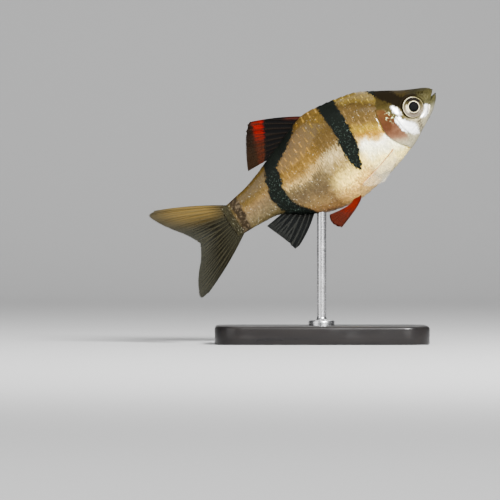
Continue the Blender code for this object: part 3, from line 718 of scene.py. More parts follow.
def skin_look(board):
    """Skin of the head and body. The head's tints come from the face, spots and plates data. Its silver
    patches are painted near white: the silver itself and a painted highlight on it.
    """
    coat = colouring(board)
    silver, cover, jaw = board.parts(board.data("face"))
    gilt, fold, blotch = board.parts(board.data("spots"))
    behind, level, _ = board.parts(board.data("plates"))
    _, share, station = board.parts(board.data("markings"))
    fine, broad = board.noise(0.5, 4.0, 0.6), board.noise(1.5, 3.0, 0.6)
    soft = board.line(board.step(3.0, 6.0, level), 1.3, 0.08)
    on_head = board.step(soft, board.times(soft, -1.0), behind)
    ragged = board.stray(board.calc("SUBTRACT", fine, 0.5), (broad, 1.6))

    rise = board.line(fine, 0.16, share)
    top = board.ramp(
        rise, (0.12, 0.22, 0.20, 0.13), (0.36, 0.22, 0.19, 0.11), (0.52, 0.060, 0.047, 0.016),
        (0.80, 0.022, 0.016, 0.004), (1.00, 0.012, 0.008, 0.002),
    )
    olive = board.ramp(
        rise, (0.28, 0.14, 0.135, 0.09), (0.44, 0.038, 0.035, 0.015), (0.62, 0.030, 0.026, 0.0095),
        (0.98, 0.007, 0.0055, 0.0013),
    )
    brown = board.ramp(
        board.stray(share, (broad, 0.5)), (0.1, 0.14, 0.070, 0.038), (0.34, 0.068, 0.026, 0.013),
        (0.46, 0.036, 0.011, 0.0045), (0.64, 0.050, 0.021, 0.006), (0.85, 0.060, 0.036, 0.009),
    )
    ahead = board.times(board.step(6.0, 3.5, station), board.step(0.10, 0.28, share))
    gold = board.times(board.step(0.56, 0.66, fine), board.step(-0.9, 0.2, gilt))
    # The silver patches are painted near white: the silver skin itself and a painted highlight on it.
    silver_and_highlight = board.times(board.step(-0.42, 0.40, board.calc("ADD", silver, ragged)),
                         board.step(-1.1, -0.2, silver))
    spotty = board.times(board.step(-0.5, 0.3, blotch), board.step(0.60, 0.44, board.noise(0.28, 2.0, 0.6)))
    jaws = board.times(board.step(0.25, 0.9, jaw), 0.8)
    chin = board.mix(board.step(1.3, 0.2, station), (0.145, 0.140, 0.108), (0.028, 0.028, 0.022))
    fold = board.step(-0.30, 0.12, board.line(ragged, 0.3, fold))
    head = board.paint(
        board.dimmed(board.mix(ahead, top, olive), board.line(fine, 1.8, 0.10)),
        (coat["Black"], (0.004, 0.0028, 0.0012)), (board.times(cover, 0.95), brown),
        (gold, (0.72, 0.80, 0.38)), (silver_and_highlight, (0.98, 0.98, 0.95)), (spotty, (0.045, 0.035, 0.022)),
        (jaws, chin), (board.times(fold, 0.95), (0.005, 0.0035, 0.0015)),
    )

    silvered = board.times(silver_and_highlight, on_head)
    dull = board.most(coat["Black"], cover, fold)
    wet = board.times(board.inverse(on_head), board.line(dull, -0.30, 0.30))
    height = board.calc("ADD", board.times(fine, 0.6), board.noise(0.16, 2.0, 0.5))
    return {
        "Base Color": board.mix(on_head, coat["Color"], head),
        "Metallic": board.times(board.most(silvered, board.times(coat["Silver"], 0.4)), 0.40),
        "Roughness": board.line(fine, 0.16, board.line(dull, 0.30, 0.30)),
        "Normal": board.bump(height, 0.45, 0.06),
        "Coat Weight": board.most(wet, board.times(silvered, 0.5)), "Coat Roughness": 0.12, "IOR": 1.07,
    }


def scale_look(board):
    """Scales carry the skin's markings. Their tile data is the place across and along one, and its tone."""
    look = bpy.context.scene.barb_scales
    coat = colouring(board)
    black = coat["Black"]
    across, along, tone = board.parts(board.data("tile"))
    _, share, station = board.parts(board.data("markings"))
    upper = board.step(0.42, 0.80, share)
    clear = board.times(board.inverse(black), board.step(50.0, 48.5, station))
    # Each scale is darker at its front, partly dusky pigment and partly painted shade under the scale ahead,
    # and at its rear rim, the dark net of the pattern.
    base = board.times(board.step(0.70, 0.42, along), board.line(upper, 0.55, 0.15), clear)
    rim = board.times(board.step(0.93, 1.0, along), board.line(upper, 0.6, 0.15), clear)

    # A pale stroke near the rear edge of some scales: a painted glint, the highlight of a scale's edge
    # painted into its colour.
    slide = board.calc("SUBTRACT", board.calc("FRACT", board.times(tone, 17.0)), 0.5)
    aside = board.calc("ABSOLUTE", board.line(slide, 0.9, across))
    bend = board.stray(along, (board.noise(0.7), 0.5))
    spot = board.times(board.between(bend, 0.78, 0.84, 0.88, 0.94), board.step(0.34, 0.06, aside))
    lucky = board.times(board.step(0.55, 0.90, tone), board.step(0.52, 0.82, share),
                        board.step(0.40, 0.56, board.noise(2.6, 2.0, 0.5)))
    spot = board.times(spot, lucky, clear, look.glint)
    green = board.times(black, board.step(0.55, 0.95, tone), board.step(0.6, 0.85, along), 0.30)
    toned = board.line(tone, look.tone_spread, 1.0 - look.tone_spread / 2)
    net_dark_and_shade = (0.030, 0.018, 0.005)
    colour = board.paint(
        board.dimmed(coat["Color"], toned), (base, net_dark_and_shade), (rim, net_dark_and_shade), (spot, (1.0, 0.93, 0.68)),
        (green, (0.03, 0.10, 0.055)),
    )

    growth = board.node("TexWave", wave_type="RINGS", rings_direction="SPHERICAL")
    ring_at = board.node("CombineXYZ", board.times(across, 0.5), along, 0.0).outputs[0]
    board.feed(growth, {"Vector": ring_at, "Scale": 3.2, "Distortion": 0.6, "Detail": 2.0})
    furrow = board.calc("SINE", board.times(across, 26.0))
    height = board.calc("ADD", board.times(growth.outputs[1], 0.7), board.times(furrow, 0.25))
    return {
        "Base Color": colour, "Metallic": board.line(coat["Silver"], 0.30, board.times(spot, 0.3)),
        "Roughness": board.line(board.noise(0.4), 0.20, board.line(black, 0.32, look.roughness - 0.08)),
        "Normal": board.bump(height, 0.30, 0.03),
        "Coat Weight": board.times(board.line(black, -0.41, 0.42), board.step(50.4, 48.0, station)),
        "Coat Roughness": 0.10, "IOR": 1.07,
    }


def eye_look(board):
    """The eye, painted by its disc data: millimetres from the pupil's middle, how high, and how far aft."""
    far, high, aft = board.parts(board.data("disc"))
    streak = board.noise(0.22, 3.0, 0.6)
    iris = board.ramp(
        board.line(high, 0.42, board.line(streak, 0.8, 0.10)), (0.0, 0.085, 0.066, 0.050),
        (0.28, 0.21, 0.175, 0.135), (0.46, 0.115, 0.095, 0.050), (0.68, 0.030, 0.024, 0.008),
        (1.0, 0.008, 0.006, 0.002),
    )
    smear = board.times(board.step(-0.60, -0.92, high), board.step(1.95, 1.45, far),
                        board.step(0.38, 0.56, streak), 0.85)
    ahead = board.times(board.step(-0.2, -0.7, aft), board.step(0.45, 0.60, streak), 0.7)
    behind = board.times(board.step(0.50, 0.85, aft), board.step(0.45, 0.0, high),
                         board.step(1.85, 1.45, far), board.step(0.36, 0.5, streak))
    wedge = board.step(0.58, 0.74, board.stray(high, (streak, 0.25)))
    wedge = board.times(wedge, board.step(2.12, 2.02, far))
    inner, outer = PUPIL_RADIUS, PUPIL_RING
    ring = board.between(far, inner - 0.02, inner + 0.05, outer - 0.12, outer - 0.04)
    edge = board.between(far, outer - 0.05, outer, outer + 0.03, outer + 0.12)
    rim = board.between(far, 2.13, 2.18, 2.22, 2.28)
    gold = board.mix(board.step(-0.3, 0.6, aft), (0.36, 0.31, 0.15), (1.0, 0.90, 0.60))
    pupil = board.step(inner + 0.02, inner - 0.05, far)
    colour = board.paint(
        iris, (smear, (0.020, 0.014, 0.008)), (ahead, (0.030, 0.025, 0.009)), (behind, (0.97, 0.86, 0.55)),
        (wedge, (0.004, 0.003, 0.002)), (ring, (0.82, 0.72, 0.46)),
        (board.times(edge, 0.7), (0.05, 0.035, 0.012)), (board.times(rim, 0.85), gold),
        (board.step(2.22, 2.32, far), (0.030, 0.022, 0.008)), (pupil, (0.0005, 0.0005, 0.0005)),
    )
    dark = board.most(pupil, wedge)
    return {
        "Base Color": colour, "Metallic": board.times(board.inverse(dark), 0.25),
        "Roughness": board.line(dark, 0.3, 0.30), "Coat Weight": board.line(pupil, -0.25, 0.25),
        "Coat Roughness": 0.02, "IOR": 1.10, "Coat IOR": 1.33,
    }


def barbel_look(board):
    """Pale skin with a fine grain."""
    fine = board.noise(0.3, 3.0, 0.6)
    return {
        "Base Color": board.mix(fine, (0.42, 0.37, 0.24), (0.62, 0.57, 0.44)),
        "Roughness": board.line(fine, 0.2, 0.3), "Normal": board.bump(fine, 0.3, 0.03), "Coat Weight": 0.3,
        "Coat Roughness": 0.1,
    }


def fin_material(name, paint, opacity, ray_opacity, ray_colour=(0.0, 0.0, 0.0), ray_share=0.0, rough=0.42):
    """A see-through fin. paint(board, across, along) gives its colour and a mask of where it is solid."""

    def look(board):
        fan = board.data("fan")
        across, along, _ = board.parts(fan)
        shown = (("Ray", "Float"), ("Joint", "Float"))
        rays = board.group(shared_group("Fin rays", (("Fan", "Vector"),), shown, fin_rays), Fan=fan)
        colour, solid = paint(board, across, along)
        colour = board.paint(colour, (board.times(rays["Ray"], ray_share), ray_colour),
                             (board.times(rays["Joint"], 0.3), (0.03, 0.025, 0.015)))
        grain = board.noise(0.5, 4.0, 0.6)
        alpha = board.stray(board.line(rays["Ray"], ray_opacity - opacity, opacity), (grain, 0.18))
        return {
            "Base Color": colour, "Alpha": board.calc("MAXIMUM", alpha, solid, clamp=True), "IOR": 1.07,
            "Roughness": board.line(grain, 0.2, rough), "Normal": board.bump(grain, 0.25, 0.03),
        }

    return shared_material(name, look, see_through=True)


def dorsal_paint(board, across, along):
    """Black at the base, a red band nearer the root towards the rear, and a clear dark margin."""
    look = bpy.context.scene.barb_fins
    lines = board.node("CombineXYZ", board.times(across, 55.0), board.times(along, 3.0), 0.0)
    streak = board.noise(1.0 / MM, 3.0, 0.6, where=lines.outputs[0])
    level = board.stray(board.line(across, 0.52, along), (board.noise(0.7, 4.0, 0.7), 0.08), (streak, 0.20))
    black = board.step(0.83, 0.76, level)
    warm = board.between(level, 0.78, 0.84, 0.95, 1.10)
    red = board.times(board.between(level, 0.76, 0.82, 0.98, 1.04), board.step(0.56, 0.28, across),
                      board.step(0.30, 0.52, streak))
    lead = board.times(board.step(0.16, 0.04, across), board.step(0.42, 0.20, along),
                       board.step(0.35, 0.55, streak))
    clear = board.mix(board.step(0.3, 0.8, across), (0.0035, 0.0018, 0.0010), (0.009, 0.0042, 0.0016))
    colour = board.paint(
        clear, (board.times(warm, 0.8), (0.026, 0.005, 0.002)), (black, look.black), (red, look.red),
        (board.times(lead, 0.5), (0.055, 0.010, 0.006)),
    )
    return colour, board.most(board.times(black, board.step(1.10, 0.80, across)), board.times(red, 0.97))


def anal_paint(board, across, along):
    """Grey and clear, darker at the base."""
    dark = board.step(0.34, 0.02, along)
    return board.mix(dark, (0.0022, 0.0025, 0.0025), (0.0012, 0.0012, 0.0010)), board.times(dark, 0.93)


def caudal_paint(board, across, along):
    """Olive near the root, warmer in the upper lobe, grey and clearer at the tips."""
    warm = board.times(board.step(0.40, 0.10, across), board.step(1.15, 0.55, along),
                       board.step(0.0, 0.35, along), 0.8)
    colour = board.ramp(along, (0.0, 0.012, 0.0115, 0.007), (0.5, 0.0028, 0.0025, 0.0012),
                        (1.0, 0.011, 0.0115, 0.0095))
    return board.mix(warm, colour, (0.085, 0.055, 0.014)), board.times(board.step(0.16, 0.0, along), 0.9)


def pelvic_paint(board, across, along):
    """Orange red, with a dark front ray and base and a clear dusky tip."""
    streak = board.noise(0.6, 3.0, 0.6)
    orange = board.mix(board.times(streak, 0.5), bpy.context.scene.barb_fins.orange, (0.040, 0.002, 0.0005))
    dark = board.most(board.step(0.14, 0.02, across), board.times(board.step(0.16, 0.02, along), 0.6))
    tip = board.step(0.52, 0.86, board.stray(along, (streak, 0.4)))
    colour = board.paint(orange, (board.times(dark, 0.75), (0.010, 0.004, 0.0015)),
                         (board.times(tip, 0.85), (0.012, 0.004, 0.002)))
    return colour, board.times(board.step(0.98, 0.72, along), 0.92)


def pectoral_paint(board, across, along):
    """Almost clear, with an orange front ray."""
    lead = board.step(0.07, 0.0, across)
    return board.mix(lead, (0.80, 0.70, 0.46), (0.42, 0.16, 0.03)), board.times(lead, 0.75)


def plate_look(board):
    """Satin black lacquer with rubbed patches and a little dust."""
    marks = wear(board, 0.0, 0.35)
    grain = board.noise(1.4, 5.0, 0.6, stretch=(12.0, 1.0, 1.0))
    colour = board.mix(grain, bpy.context.scene.barb_stand.lacquer, (0.012, 0.010, 0.009))
    rough = board.line(marks["Rubbed"], 0.14, board.line(grain, 0.10, 0.24))
    return {
        "Base Color": board.mix(board.times(marks["Dusty"], 0.16), colour, (0.20, 0.195, 0.185)),
        "Roughness": board.line(marks["Dusty"], 0.3, rough), "IOR": 1.3,
    }


def post_look(board):
    """Turned steel: fine rings round its axis, a little tarnish and hair scratches."""
    marks = wear(board, 0.7, 0.1)
    lathe = board.noise(0.12, 3.0, 0.6, stretch=(50.0, 50.0, 1.0))
    tarnish = board.times(board.step(0.50, 0.75, board.noise(3.5, 4.0, 0.6)), 0.5)
    return {
        "Base Color": board.mix(tarnish, bpy.context.scene.barb_stand.steel, (0.42, 0.39, 0.34)),
        "Roughness": board.line(lathe, 0.18, board.line(marks["Rubbed"], 0.12, 0.16)), "Metallic": 1.0,
        "Normal": board.bump(board.calc("ADD", lathe, marks["Height"]), 0.12, 0.02),
    }


def paper_look(board):
    """Plain studio paper with a faint mottle."""
    tint = bpy.context.scene.barb_stage.floor
    mottle = board.times(board.noise(14.0, 4.0, 0.6), 0.08)
    return {"Base Color": board.mix(mottle, tint, [0.85 * c for c in tint]), "Roughness": 0.85}


# Skin.


def skin_rings(around):
    """The whole body's surface before its fine forms: inside the mouth, lips, snout, body and tail end."""
    turn = np.linspace(0.0, ROUND, around, endpoint=False)
    throat = np.array((THROAT[0], 0.0, THROAT[1]))
    rings = [throat + (mouth_rim(turn) - throat) * share for share in THROAT_SHARES]
    rings += [lips(turn, roll) for roll in np.linspace(0.0, math.pi, LIP_RINGS + 1)[:-1]]
    rings += [snout(turn, share) for share in np.linspace(0.0, 1.0, SNOUT_RINGS + 1)[:-1]]
    on_head = np.arange(SNOUT_END, HEAD_END, HEAD_SPACING)
    stations = np.concatenate((on_head, np.arange(HEAD_END, BODY_END, BODY_SPACING), [BODY_END]))
    rings += [section(station, turn) for station in stations]
    last = section(BODY_END, turn)
    for share in np.linspace(0.0, 1.0, TAIL_RINGS + 1)[1:]:
        ring = last * (1.0, tail_narrowing(share), 1.0 - 0.08 * share**2)
        ring[:, 0] += TAIL_ROOT * share * (1 - 0.35 * (ring[:, 2] / 3.6) ** 2)
        rings.append(ring)
    return np.array(rings)


def face_relief(points):
    """How far the skin stands out or sinks, in millimetres: at the eyes, nostrils, gill covers and jaws."""
    station, side, height = np.moveaxis(points, -1, 0)
    from_eye = np.hypot(station - EYE[0], height - EYE[1])
    relief = 0.16 * hump(from_eye - 2.85, 0.26)
    relief -= 1.5 * ease(EYE_OPENING + 0.12, EYE_OPENING - 0.28, from_eye)
    for s, h in NOSTRILS:
        far = np.hypot(station - s, height - h)
        relief += 0.10 * hump(far - 0.36, 0.12) - 0.34 * hump(far, 0.20)
    turn = np.arctan2(EYE[1] - height, station - EYE[0]) % ROUND
    for reach, start, stop in EYE_FOLDS:
        relief -= 0.05 * hump(from_eye - reach, 0.10) * window(turn, start - 0.25, start, stop, stop + 0.25)
    relief *= ease(0.4, 1.2, np.abs(side))

    behind, cheek = behind_gill(station, height), behind_cheek(station, height)
    flap = np.where(behind < 0, 0.34 * np.exp(np.minimum(behind, 0) / 2.4),
                    -0.16 * np.exp(-np.maximum(behind, 0) / 0.6))
    relief += flap * window(height, -8.6, -6.8, 2.4, 3.7)
    ridge = 0.12 * hump(cheek + 0.15, 0.30) - 0.16 * hump(cheek - 0.30, 0.16)
    relief += ridge * window(height, -6.2, -5.0, 1.6, 2.9)
    fan = np.sin(9.0 * np.arctan2(height + 0.4, station - 10.0)) * window(height, -6.5, -5.0, 1.5, 3.0)
    relief += 0.018 * fan * ease(0.5, 1.2, cheek) * ease(0.2, -0.5, behind)

    jaw = height - (-3.55 - 0.30 * (station - 4.5))
    groove = 0.05 * hump(jaw - 0.35, 0.25) - 0.10 * hump(jaw, 0.14)
    relief += groove * window(station, 3.8, 5.0, 8.2, 9.2)
    upper_lip = height - (0.95 - 0.95 * (station - 0.8))
    gate = window(station, 0.5, 0.9, 2.3, 2.9) * ease(-2.2, -1.6, height)
    return relief - 0.07 * hump(upper_lip, 0.14) * gate


def face_tints(points):
    """What the head's colours read at a place, as three vectors. The face is how deep in the silver, how
    brown for the gill cover, and where the jaws are. The spots are how deep in the gilt, in the dark fold
    over the eye and in the dark blotch. The plates are how far behind the gill edge, and the height."""
    station, _, height = np.moveaxis(points, -1, 0)
    behind = behind_gill(station, height)
    cover = ease(0.1, 1.0, behind_cheek(station, height)) * ease(-0.02, -0.16, behind)
    cover = cover * ease(4.4, 2.2, height) * ease(-1.0, 0.8, height + 5.2 - 0.45 * (station - 10.9))
    jaw = ease(-1.4, -2.2, height + 0.55 * station) * ease(6.5, 3.5, station) + ease(0.45, 0.0, station)
    gilt, fold, blotch = (chain_depth(station, height, chain) for chain in (GILT, FOLD, BLOTCH))
    return {
        "face": np.stack((chain_depth(station, height, SILVER), cover, np.clip(jaw, 0, 1)), axis=-1),
        "spots": np.stack((gilt, fold, blotch), axis=-1),
        "plates": np.stack((behind, height, 0 * height), axis=-1),
    }


def build_skin():
    """One seamless skin over the head, gill covers, trunk and tail stalk."""
    rings = skin_rings(AROUND)
    normals = outward_normals(rings, closed=True)
    away = np.sign((normals * (rings - rings.mean(axis=1, keepdims=True))).sum(axis=(1, 2)))
    relief = away[:, None] * face_relief(rings)
    relief[: len(THROAT_SHARES) + LIP_RINGS] = 0.0
    relief[-TAIL_RINGS - 1 :] = 0.0
    points, faces = capped_rings(place(rings + normals * relief[..., None]))
    flat = np.concatenate((rings.reshape(-1, 3), rings[[0, -1]].mean(axis=1)))
    make_piece("skin", points, faces, shared_material("Barb skin", skin_look),
               ("head", "gill_cover_left", "gill_cover_right", "trunk", "tail_stalk"),
               data={"markings": markings(flat), **face_tints(flat)})


# Scales.


def flank_table():
    """For each station, the turn of the section at each distance up or down from the lateral row."""
    stations = np.arange(FLANK_START, FLANK_END, FLANK_STEP)
    inner = np.minimum(stations, BODY_END)
    turns = np.linspace(-0.7, math.pi + 0.7, 500)
    points = section(inner[:, None], turns[None, :])
    steps = np.linalg.norm(np.diff(points, axis=1), axis=2)
    arc = np.concatenate((np.zeros((len(stations), 1)), np.cumsum(steps, axis=1)), axis=1)
    distances = np.arange(-FLANK_REACH, FLANK_REACH + 0.01, FLANK_STEP)
    table, reach = [], []
    for k, station in enumerate(inner):
        back, belly, _, level = body_sizes(station)
        height = 1.1 * ease(30.0, 12.0, station)
        up = (height - level) / (back - level if height > level else level - belly)
        middle = np.interp(math.acos(np.clip(up, -1, 1)), turns, arc[k])
        table.append(np.interp(middle - distances, arc[k], turns))
        ends = np.interp((0.0, math.pi), turns, arc[k])
        reach.append((middle - ends[0], ends[1] - middle))
    return stations, distances, np.array(table), np.array(reach)


def on_flank(station, distance, tables):
    """The left flank's point and outward normal at a station and a distance from the lateral row."""
    stations, distances, table, _ = tables
    x = np.clip((station - stations[0]) / FLANK_STEP, 0, len(stations) - 1.001)
    y = np.clip((distance - distances[0]) / FLANK_STEP, 0, len(distances) - 1.001)
    i, j = x.astype(int), y.astype(int)
    u, v = x - i, y - j
    low = table[i, j] * (1 - u) + table[i + 1, j] * u
    high = table[i, j + 1] * (1 - u) + table[i + 1, j + 1] * u
    turn = low * (1 - v) + high * v
    inner = np.clip(station, FLANK_START, BODY_END - NUDGE)
    here = section(inner, turn)
    along = (section(inner + NUDGE, turn) - here) / NUDGE
    across = section(inner, turn + 0.01) - section(inner, turn - 0.01)
    past = np.maximum(0.0, station - BODY_END)
    narrow = tail_narrowing(np.clip(past / TAIL_ROOT, 0.0, 1.0))
    here[..., 0] += past
    here[..., 1] *= narrow
    return here, unit(np.cross(across, along))


def scale_places(tables):
    """Station, distance, row pitch and column pitch of every scale of one flank, in staggered columns."""
    look = bpy.context.scene.barb_scales
    stations, _, _, reach = tables
    fine = np.linspace(SCALES_START, SCALES_END, 900)
    upper = np.interp(fine, stations, reach[:, 0])
    pitch = np.minimum(upper / look.rows_above, 2.1 - 0.65 * ease(27.0, 46.0, fine))
    count = np.concatenate(([0.0], np.cumsum(np.diff(fine) / (pitch * look.column_share)[:-1])))
    found = []
    for row in SCALE_ROWS:
        number = np.arange(0, int(count[-1]) + 1) + (0.5 if row % 2 else 0.0)
        station = np.interp(number, count, fine)
        row_pitch = np.interp(station, fine, pitch)
        distance = row * row_pitch
        above, below = (np.interp(station, stations, reach[:, k]) for k in (0, 1))
        point, _ = on_flank(station, distance, tables)
        naked = ease(4.0, 7.0, point[..., 2]) * 0.5
        keep = (distance < above + 0.10 * row_pitch) & (distance > -below - 0.10 * row_pitch)
        keep &= (behind_gill(station, point[..., 2]) > 0.62 - naked) & (number < count[-1])
        dorsal = (station > DORSAL_START - 0.8) & (station < DORSAL_END + 0.6)
        keep &= ~(dorsal & (distance > above - 0.42 * row_pitch))
        anal = (station > ANAL_START - 0.8) & (station < ANAL_END + 0.6)
        keep &= ~(anal & (distance < -below + 0.42 * row_pitch))
        found.append(np.stack((station, distance, row_pitch, row_pitch * look.column_share), axis=-1)[keep])
    return np.concatenate(found)


def build_scales(side, sign, tables, places, seed):
    """Overlapping scales. Each is a plate with a round rear edge, sunk in front and lifted behind, on a
    grid of points: across from edge to edge, and along from its sunk front to its free rear."""
    look = bpy.context.scene.barb_scales
    draw = np.random.default_rng(seed)
    wide, long = 11, 8
    u = np.sin(np.linspace(-math.pi / 2, math.pi / 2, wide))[:, None] * np.ones(long)
    w = np.linspace(0.0, 1.0, long)[None, :] * np.ones((wide, 1))
    count = len(places)
    size = 1.0 + SIZE_SPREAD * draw.standard_normal(count)[:, None, None]
    tilt = TILT_SPREAD * draw.standard_normal(count)[:, None, None]
    tone = draw.random(count)[:, None, None]
    station, distance, pitch, column = (places[:, k][:, None, None] for k in range(4))
    front, rear = -0.75 * column, 1.05 * column * size
    bow = np.sqrt(np.maximum(0.0, 1 - 0.96 * u * u))
    along = front + (rear * (0.25 + 0.75 * bow) - front) * w
    half = look.half_height * pitch * size
    across = half * u * (0.72 + 0.28 * np.sin(w * math.pi / 2)) * (1 - 0.06 * w)
    here_s = np.minimum(station + along * np.cos(tilt) - across * np.sin(tilt), LAST_STATION)
    here_d = distance + along * np.sin(tilt) + across * np.cos(tilt)
    base, normal = on_flank(here_s, here_d, tables)
    rise = look.lift * pitch / 2.0 * (1 - 0.7 * ease(48.0, 50.5, station))
    lift = -0.55 * rise + 1.55 * rise * w**1.1 - 0.30 * rise * u * u * w
    thick = SCALE_THICKNESS * (1 - 0.3 * w)
    points = np.stack([base + normal * (lift + way * thick)[..., None] for way in (1, -1)], axis=1)
    points[..., 1] *= sign

    one = sheet_faces(wide, long)
    faces = (one[None] + (np.arange(count) * 2 * wide * long)[:, None, None]).reshape(-1, 4)
    mark_base = np.stack((base, base), axis=1)
    tile = np.stack(np.broadcast_arrays(u[None], w[None], tone), axis=-1)
    tile = np.stack((tile, tile), axis=1)
    root = np.stack(((places[:, 0] - FLANK_START) / MAP_LENGTH, places[:, 1] / MAP_HEIGHT + 0.5), axis=-1)
    patch = np.stack((w - 0.5, u / 2), axis=-1) * MAP_PATCH
    uv = MAP_EDGE + (1 - 2 * MAP_EDGE) * root[:, None, None, None, :]
    uv = uv + np.broadcast_to(patch, (count, 2, wide, long, 2))
    material = shared_material("Barb scales", scale_look)
    make_piece(f"scales_{side}", place(points.reshape(-1, 3)), [faces], material,
               data={"markings": markings(mark_base.reshape(-1, 3)), "tile": tile},
               uv=uv.reshape(-1, 2), sharp=50)


# Eyes and barbels.


def build_eye(side, sign):
    """An eyeball turned about its own axis: a flat-topped dome with a raised lens and a dished iris."""
    along = np.linspace(0.0, math.pi, 84)[1:-1]
    around = np.linspace(0.0, ROUND, 112, endpoint=False)
    radius = EYE_RADIUS * np.sin(along)
    out = -EYE_DOME * np.cos(along)
    front = out > 0
    dome = EYE_DOME * (1 - (radius / EYE_RADIUS) ** 2.7) ** (1 / 2.3) - 0.07 * hump(radius - 1.65, 0.32)
    dome += 0.10 * ease(PUPIL_RADIUS + 0.12, PUPIL_RADIUS - 0.35, radius)
    dome += 0.03 * hump(radius - PUPIL_RADIUS - 0.07, 0.10)
    out = np.where(front, dome, out)
    axis = np.array((-math.sin(EYE_TOE), sign * math.cos(EYE_TOE), 0.0))
    level = np.array((math.cos(EYE_TOE), sign * math.sin(EYE_TOE), 0.0))
    upright = np.array((0.0, 0.0, 1.0))
    spoke = np.cos(around)[:, None] * level + np.sin(around)[:, None] * upright
    rings = np.array((EYE[0], sign * EYE_DEEP, EYE[1])) + out[:, None, None] * axis
    rings = rings + radius[:, None, None] * spoke
    points, faces = capped_rings(place(rings))
    turn = around - PITCH
    far = np.where(front, radius, 3.0)
    disc = np.stack(np.broadcast_arrays(far[:, None], np.sin(turn), np.cos(turn)), axis=-1).reshape(-1, 3)
    disc = np.concatenate((disc, ((3.0, 0.0, 0.0), (0.0, 0.0, 0.0))))
    material = shared_material("Barb eye", eye_look)
    make_piece(f"eyeball_{side}", points, faces, material, (f"eye_{side}",), data={"disc": disc})


def snout_side(station, height):
    """How far out the snout's side is at those stations and heights, where its curves pass nearest."""
    turns = np.linspace(0.05, math.pi - 0.05, 160)[:, None]
    shares = np.linspace(0.0, 1.0, 80)[None, :]
    points = snout(turns, shares).reshape(-1, 3)
    far = np.hypot(points[:, 0] - station[:, None], points[:, 2] - height[:, None])
    return points[far.argmin(axis=1), 1]


def build_barbel(side, sign):
    """A tapered round feeler along a path that leaves the skin square and bends back along the jaw."""
    share = np.linspace(0.0, 1.0, 26)
    back = BARBEL_LENGTH * share * (0.6 + 0.4 * share)
    coarse = np.linspace(0.0, BARBEL_LENGTH, 7)
    root, way = np.array(BARBEL_ROOT), np.array(BARBEL_WAY)
    skin = snout_side(*(root[:, None] + way[:, None] * coarse))
    station, height = root[:, None] + way[:, None] * back
    lift = -0.1 + 0.75 * (1 - (1 - share) ** 3)
    path = np.stack((station, sign * (np.interp(back, coarse, skin) + lift), height), axis=-1)
    radius = BARBEL_RADIUS * (1 - 0.65 * share) * np.sqrt(np.maximum(0.02, 1 - share**14))
    ahead = unit(np.gradient(path, axis=0))
    across = unit(np.cross(ahead, (0.62, 0.0, 0.78)))
    other = np.cross(ahead, across)
    turn = np.linspace(0, ROUND, 16, endpoint=False)[None, :, None]
    spoke = np.cos(turn) * across[:, None] + np.sin(turn) * other[:, None]
    points, faces = capped_rings(place(path[:, None] + radius[:, None, None] * spoke))
    make_piece(f"feeler_{side}", points, faces, shared_material("Barbel", barbel_look),
               (f"barbel_{side}",))


# Fins.


def ray_pattern(across, along, rays, plain):
    """The height of the rays on a fin, from 0 to 1. Each ray forks in its outer part and forks again, but
    for the plain ones at its front."""
    number = across * (rays - 1)
    offset = number - np.round(number)
    forks = np.where(np.round(number) < plain, 0.0, 1.0)
    first = forks * 0.24 * ease(0.28, 0.75, along)
    second = forks * 0.12 * ease(0.58, 1.0, along)
    far = np.abs(np.abs(np.abs(offset) - first) - second)
    return hump(far, 0.17 - 0.10 * ease(0.25, 0.95, along) * forks)


def build_fin(name, surface, rays, material, replaced, plain=2, both_ends=False):
    """A fin as a thin closed sheet. Its rays are ridges on both faces and stand a little past the
    membrane's edge. The surface gives the fin's middle at across and along, each from 0 to 1."""
    columns = np.linspace(0.0, 1.0, (rays - 1) * RAY_COLUMNS + 1)[:, None]
    across, along = np.broadcast_arrays(columns, np.linspace(0.0, 1.0, FIN_ROWS)[None, :])
    front = np.minimum(across, 1 - across) if both_ends else across
    ray = ray_pattern(front, along, rays, plain)
    middle = surface(across, along * (1 - 0.022 * (1 - ray) * ease(0.5, 1.0, along)))
    normal = outward_normals(middle, closed=False)
    sway = FIN_WAVE * np.sin(math.pi * across * (rays - 1)) * ease(0.15, 0.9, along)
    stout = 1.25 - 0.5 * front
    half = 0.035 + (0.16 * stout - 0.08 * along) * ray * (1 - 0.5 * along) + 0.05 * (1 - along)
    points = np.stack([middle + normal * (sway + way * half)[..., None] for way in (1, -1)])
    fan = np.stack((across, along, ray), axis=-1)
    make_piece(name, place(points.reshape(-1, 3)), [sheet_faces(*across.shape)], material, replaced,
               data={"fan": np.stack((fan, fan))})


def bowed(start, end, bow, across, along):
    """Rays in the middle plane from a root to a margin, each a straight chord with a bow to one side."""
    chord = end - start
    square = np.stack((-chord[..., 1], chord[..., 0]), axis=-1)
    point = start + chord * along[..., None] + square * (bow * along * (1 - along))[..., None]
    return np.stack((point[..., 0], 0 * across, point[..., 1]), axis=-1)


def margin_curve(margin):
    """A fin's margin as a curve from 0 to 1. Its points lie at even shares raised to the power of 1.15, so
    those at the front are closer together."""
    return curve_through(np.linspace(0.0, 1.0, len(margin)) ** 1.15, margin)


def middle_surface(start, end, on_belly, margin, bow):
    """The dorsal or anal fin from a root sunk in the back or belly to its margin."""
    sink = ROOT_SINK if on_belly else -ROOT_SINK

    def surface(across, along):
        station = start + (end - start) * across
        root = np.stack((station, body_sizes(station)[..., int(on_belly)] + sink), axis=-1)
        return bowed(root, margin_curve(margin)(across), bow * (1 - across), across, along)

    return surface


def caudal_surface(across, along):
    """From the tail's end to a forked margin: the upper lobe's, and then the lower lobe's run backwards."""
    height = CAUDAL_ROOT * (1 - 2 * across)
    start = np.stack((BODY_END - 0.2 + 0 * height, height), axis=-1)
    half = np.minimum(2 * across, 2 - 2 * across)
    blend = ease(0.47, 0.53, across)[..., None]
    end = margin_curve(CAUDAL_UPPER)(half) * (1 - blend) + margin_curve(CAUDAL_LOWER)(half) * blend
    bow = CAUDAL_BOW * np.where(across < 0.5, 1.0, -1.0) * (1 - half)
    return bowed(start, end, bow, across, along)


